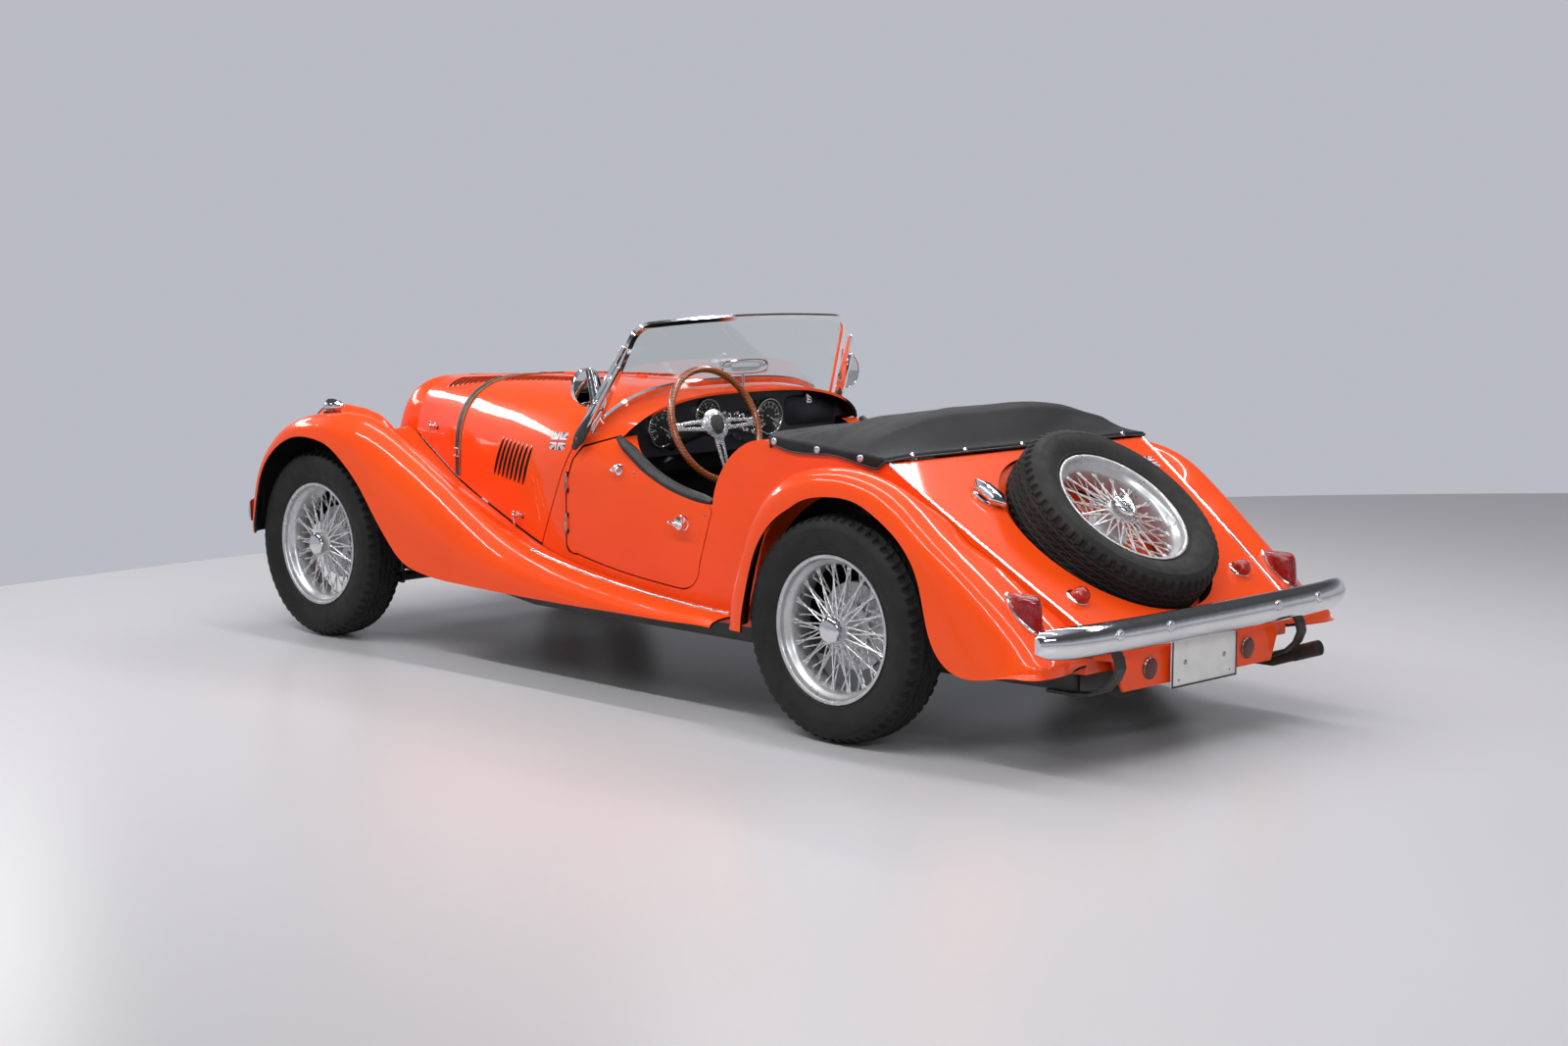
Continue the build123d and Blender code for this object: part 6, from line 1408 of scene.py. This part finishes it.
def make_screen_posts():
    metal, black = Shape(), Shape()
    for hand in HANDS:
        foot, top = Vector((186, hand * 567, 745)), Vector((30, hand * 499, 1040))
        run, length = (top - foot).normalized(), (top - foot).length
        out = square_to(Vector((0, hand, 0)), run)
        ahead = run.cross(out).normalized()
        if ahead.x < 0:
            ahead = -ahead
        for shift, share in ((-9.5, 0.80), (9.5, 0.98)):
            path = [foot + run * (length * (0.10 + (share - 0.10) * i / 12)) + ahead * shift + out * 4
                    for i in range(13)]
            metal.section(path, [(-8, -4), (-8, 3), (-6.5, 5.5), (-3, 6.5), (0, 4.6), (3, 6.5), (6.5, 5.5),
                                 (8, 3), (8, -4)],
                          [out] * 13)
            metal.dome(path[-1], run, 7, 4, 0, 16)
        for share in (0.42, 0.66):
            metal.dome(foot + run * (length * share) + out * 10, out, 5.5, 3.0, 0, 16)
        path = [foot + run * (length * share) - ahead * (10 * share) + out * 3
                for share in (-0.035, -0.02, 0.03, 0.10, 0.18, 0.27, 0.36, 0.40)]
        black.tube(path, [6, 15, 21, 22, 19, 15, 11, 5], 20, flat=0.52, up=out)
        black.dome(path[2] + out * 9.5, out, 6, 3, 1, 18)
        black.dome(foot - run * 8 + out * 2 + Vector((4, 0, -6)), out, 13, 7, 0, 20)
    metal.piece("screen_posts", "chrome", slot="chrome", angle=35)
    black.piece("screen_feet", ["rubber", "dark_chrome"], slot="black_vinyl", angle=40)


def make_side_lamps():
    shape = Shape()
    for hand in HANDS:
        place, normal = land_on("wings_front", 1412, hand * 604, 1200)
        shape.turned([(30, -2), (31, 1), (30, 5), (27, 8), (25.5, 8)], place, normal, 36)
        centre = place + Vector((0, 0, 22))
        rows = []
        for k in range(19):
            r = 21.5 * (1 - abs(2 * k / 18 - 1) ** 3.2) ** 0.5 if 0 < k < 18 else 0.05
            rows.append([centre + Vector((-34 + 68 * k / 18, r * 1.12 * c, r * 0.92 * s))
                         for c, s in circle(36)])
        shape.rows(rows[:14], round_cols=True, skin=1)
        shape.rows(rows[13:], round_cols=True, skin=2)
        shape.tube([centre + Vector((x, 0, z)) for x, z in ((-30, 21), (0, 23), (24, 19))], [1.5, 3.0, 1.5],
                   8, 1)
    shape.piece("side_lamp_shells", ["reflector", "chrome", "lens"], slot="chrome", angle=40)


def make_hinge_barrels():
    shape = Shape()
    for hand in HANDS:
        for z in (488, 614):
            for low, high in ((z - 26, z - 9), (z - 8, z + 8), (z + 9, z + 26)):
                shape.turned([(0.1, low), (4.6, low), (5.6, low + 1), (5.6, high - 1), (4.6, high),
                              (0.1, high)],
                             (HINGE_X, hand * HINGE_Y, 0), steps=20)
    shape.piece("door_hinge_barrels", "worn_chrome", slot="chrome", angle=40)


def make_pipe_mouth():
    end, before = Vector((-1819, -470, 230)), Vector((-1665, -467, 178.1))
    shape = Shape().turned([(22.0, -2), (22.0, 0.6), (20.0, 0.8), (19.4, 0.4)], end, end - before, 36)
    # A dark disc just inside the rim is painted shade for the pipe's hollow.
    shape.turned([(19.5, 0.5), (10, 0.35), (0, 0.3)], end, end - before, 36, 1)
    shape.piece("tail_pipe_mouth", ["exhaust", "dark"], slot="exhaust_steel", angle=40)


# ---- Materials of the CAD nodes and the floor ----------------------------------------------
NODE_LOOKS = {
    "bonnet_left": "paint", "bonnet_right": "paint", "radiator_cowl": "paint", "rear_valance": "paint",
    "rear_body": "tub", "scuttle": "scuttle", "wings_front": "wing", "wings_rear": "wing",
    "door_left": "door", "door_right": "door", "dashboard": "dash", "inner_wings": "underside",
    "exhaust": "exhaust",
}
SLOT_LOOKS = {
    "body_paint": "paint", "chassis_black": "chassis", "floor_black": "carpet", "black_vinyl": "vinyl",
    "engine_grey": "iron", "exhaust_steel": "exhaust", "chrome": "chrome", "plate_grey": "plate",
    "lamp_red": "red", "wheel_rim_wood": "wood", "strap_leather": "leather", "glass": "glass",
    "tyre": "tyre", "wheel_silver": "silver",
}
# Outline of the studio floor in metres: the curved edge that is seen, and the rest of it, out of sight.
FAR_EDGE = [(3.75, 6.5), (3.45, 3.6), (3.21, 0.886), (3.285, -0.466), (3.221, -0.982), (2.72, -2.6),
            (1.665, -5.014), (0.541, -6.442), (-0.9, -8.0), (-2.9, -9.8)]
NEAR_EDGE = [(-6, -12), (-12, -10), (-14, 0), (-13, 10), (-6, 14), (2, 13), (4.0, 9.5)]


def dress_nodes():
    for node, thing in NODES.items():
        for slot in thing.material_slots:
            kind = slot.material.name.split(".")[0] if slot.material else ""
            slot.link = "OBJECT"
            slot.material = LOOKS[NODE_LOOKS.get(node) or SLOT_LOOKS.get(kind, "chassis")]


def make_floor():
    """Studio floor with a curved far edge, beyond which the plain backdrop shows."""
    far = curve([(x, y, 0) for x, y in FAR_EDGE], 90)
    ring = [(p.x, p.y, 0) for p in far] + [(x, y, 0) for x, y in NEAR_EDGE]
    mesh = bpy.data.meshes.new("studio_floor")
    mesh.from_pydata(ring, [], [tuple(range(len(ring)))])
    mesh.materials.append(LOOKS["floor"])
    if mesh.polygons[0].normal.z < 0:
        mesh.flip_normals()
    add_to_scene(bpy.data.objects.new("studio_floor", mesh))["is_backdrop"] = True


# ---- The whole -----------------------------------------------------------------------------
def plain(value):
    """Vectors and numbers as lists that can be written out."""
    if isinstance(value, dict):
        return {key: plain(item) for key, item in value.items()}
    if isinstance(value, (list, tuple, Vector)):
        return [plain(item) for item in value]
    return round(value, 5) if isinstance(value, float) else value


MAKERS = [
    make_looks, make_camera, make_lamps, make_world, dress_nodes, make_floor,
    make_wheels, make_bumper_bolts, make_tail_lamps, make_fuel_cap, make_deck_beads, make_plate, make_flags,
    make_hood_cover, make_seats, make_steering_wheel, make_dials, make_dash_fittings, make_mirror_glass,
    make_louvres, make_catches, make_strap_trim, make_door_trim, make_side_strips, make_screen_posts,
    make_side_lamps, make_hinge_barrels, make_pipe_mouth,
]
for make in MAKERS:
    make()
{"start": plain(cad_box), "end": plain(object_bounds())}
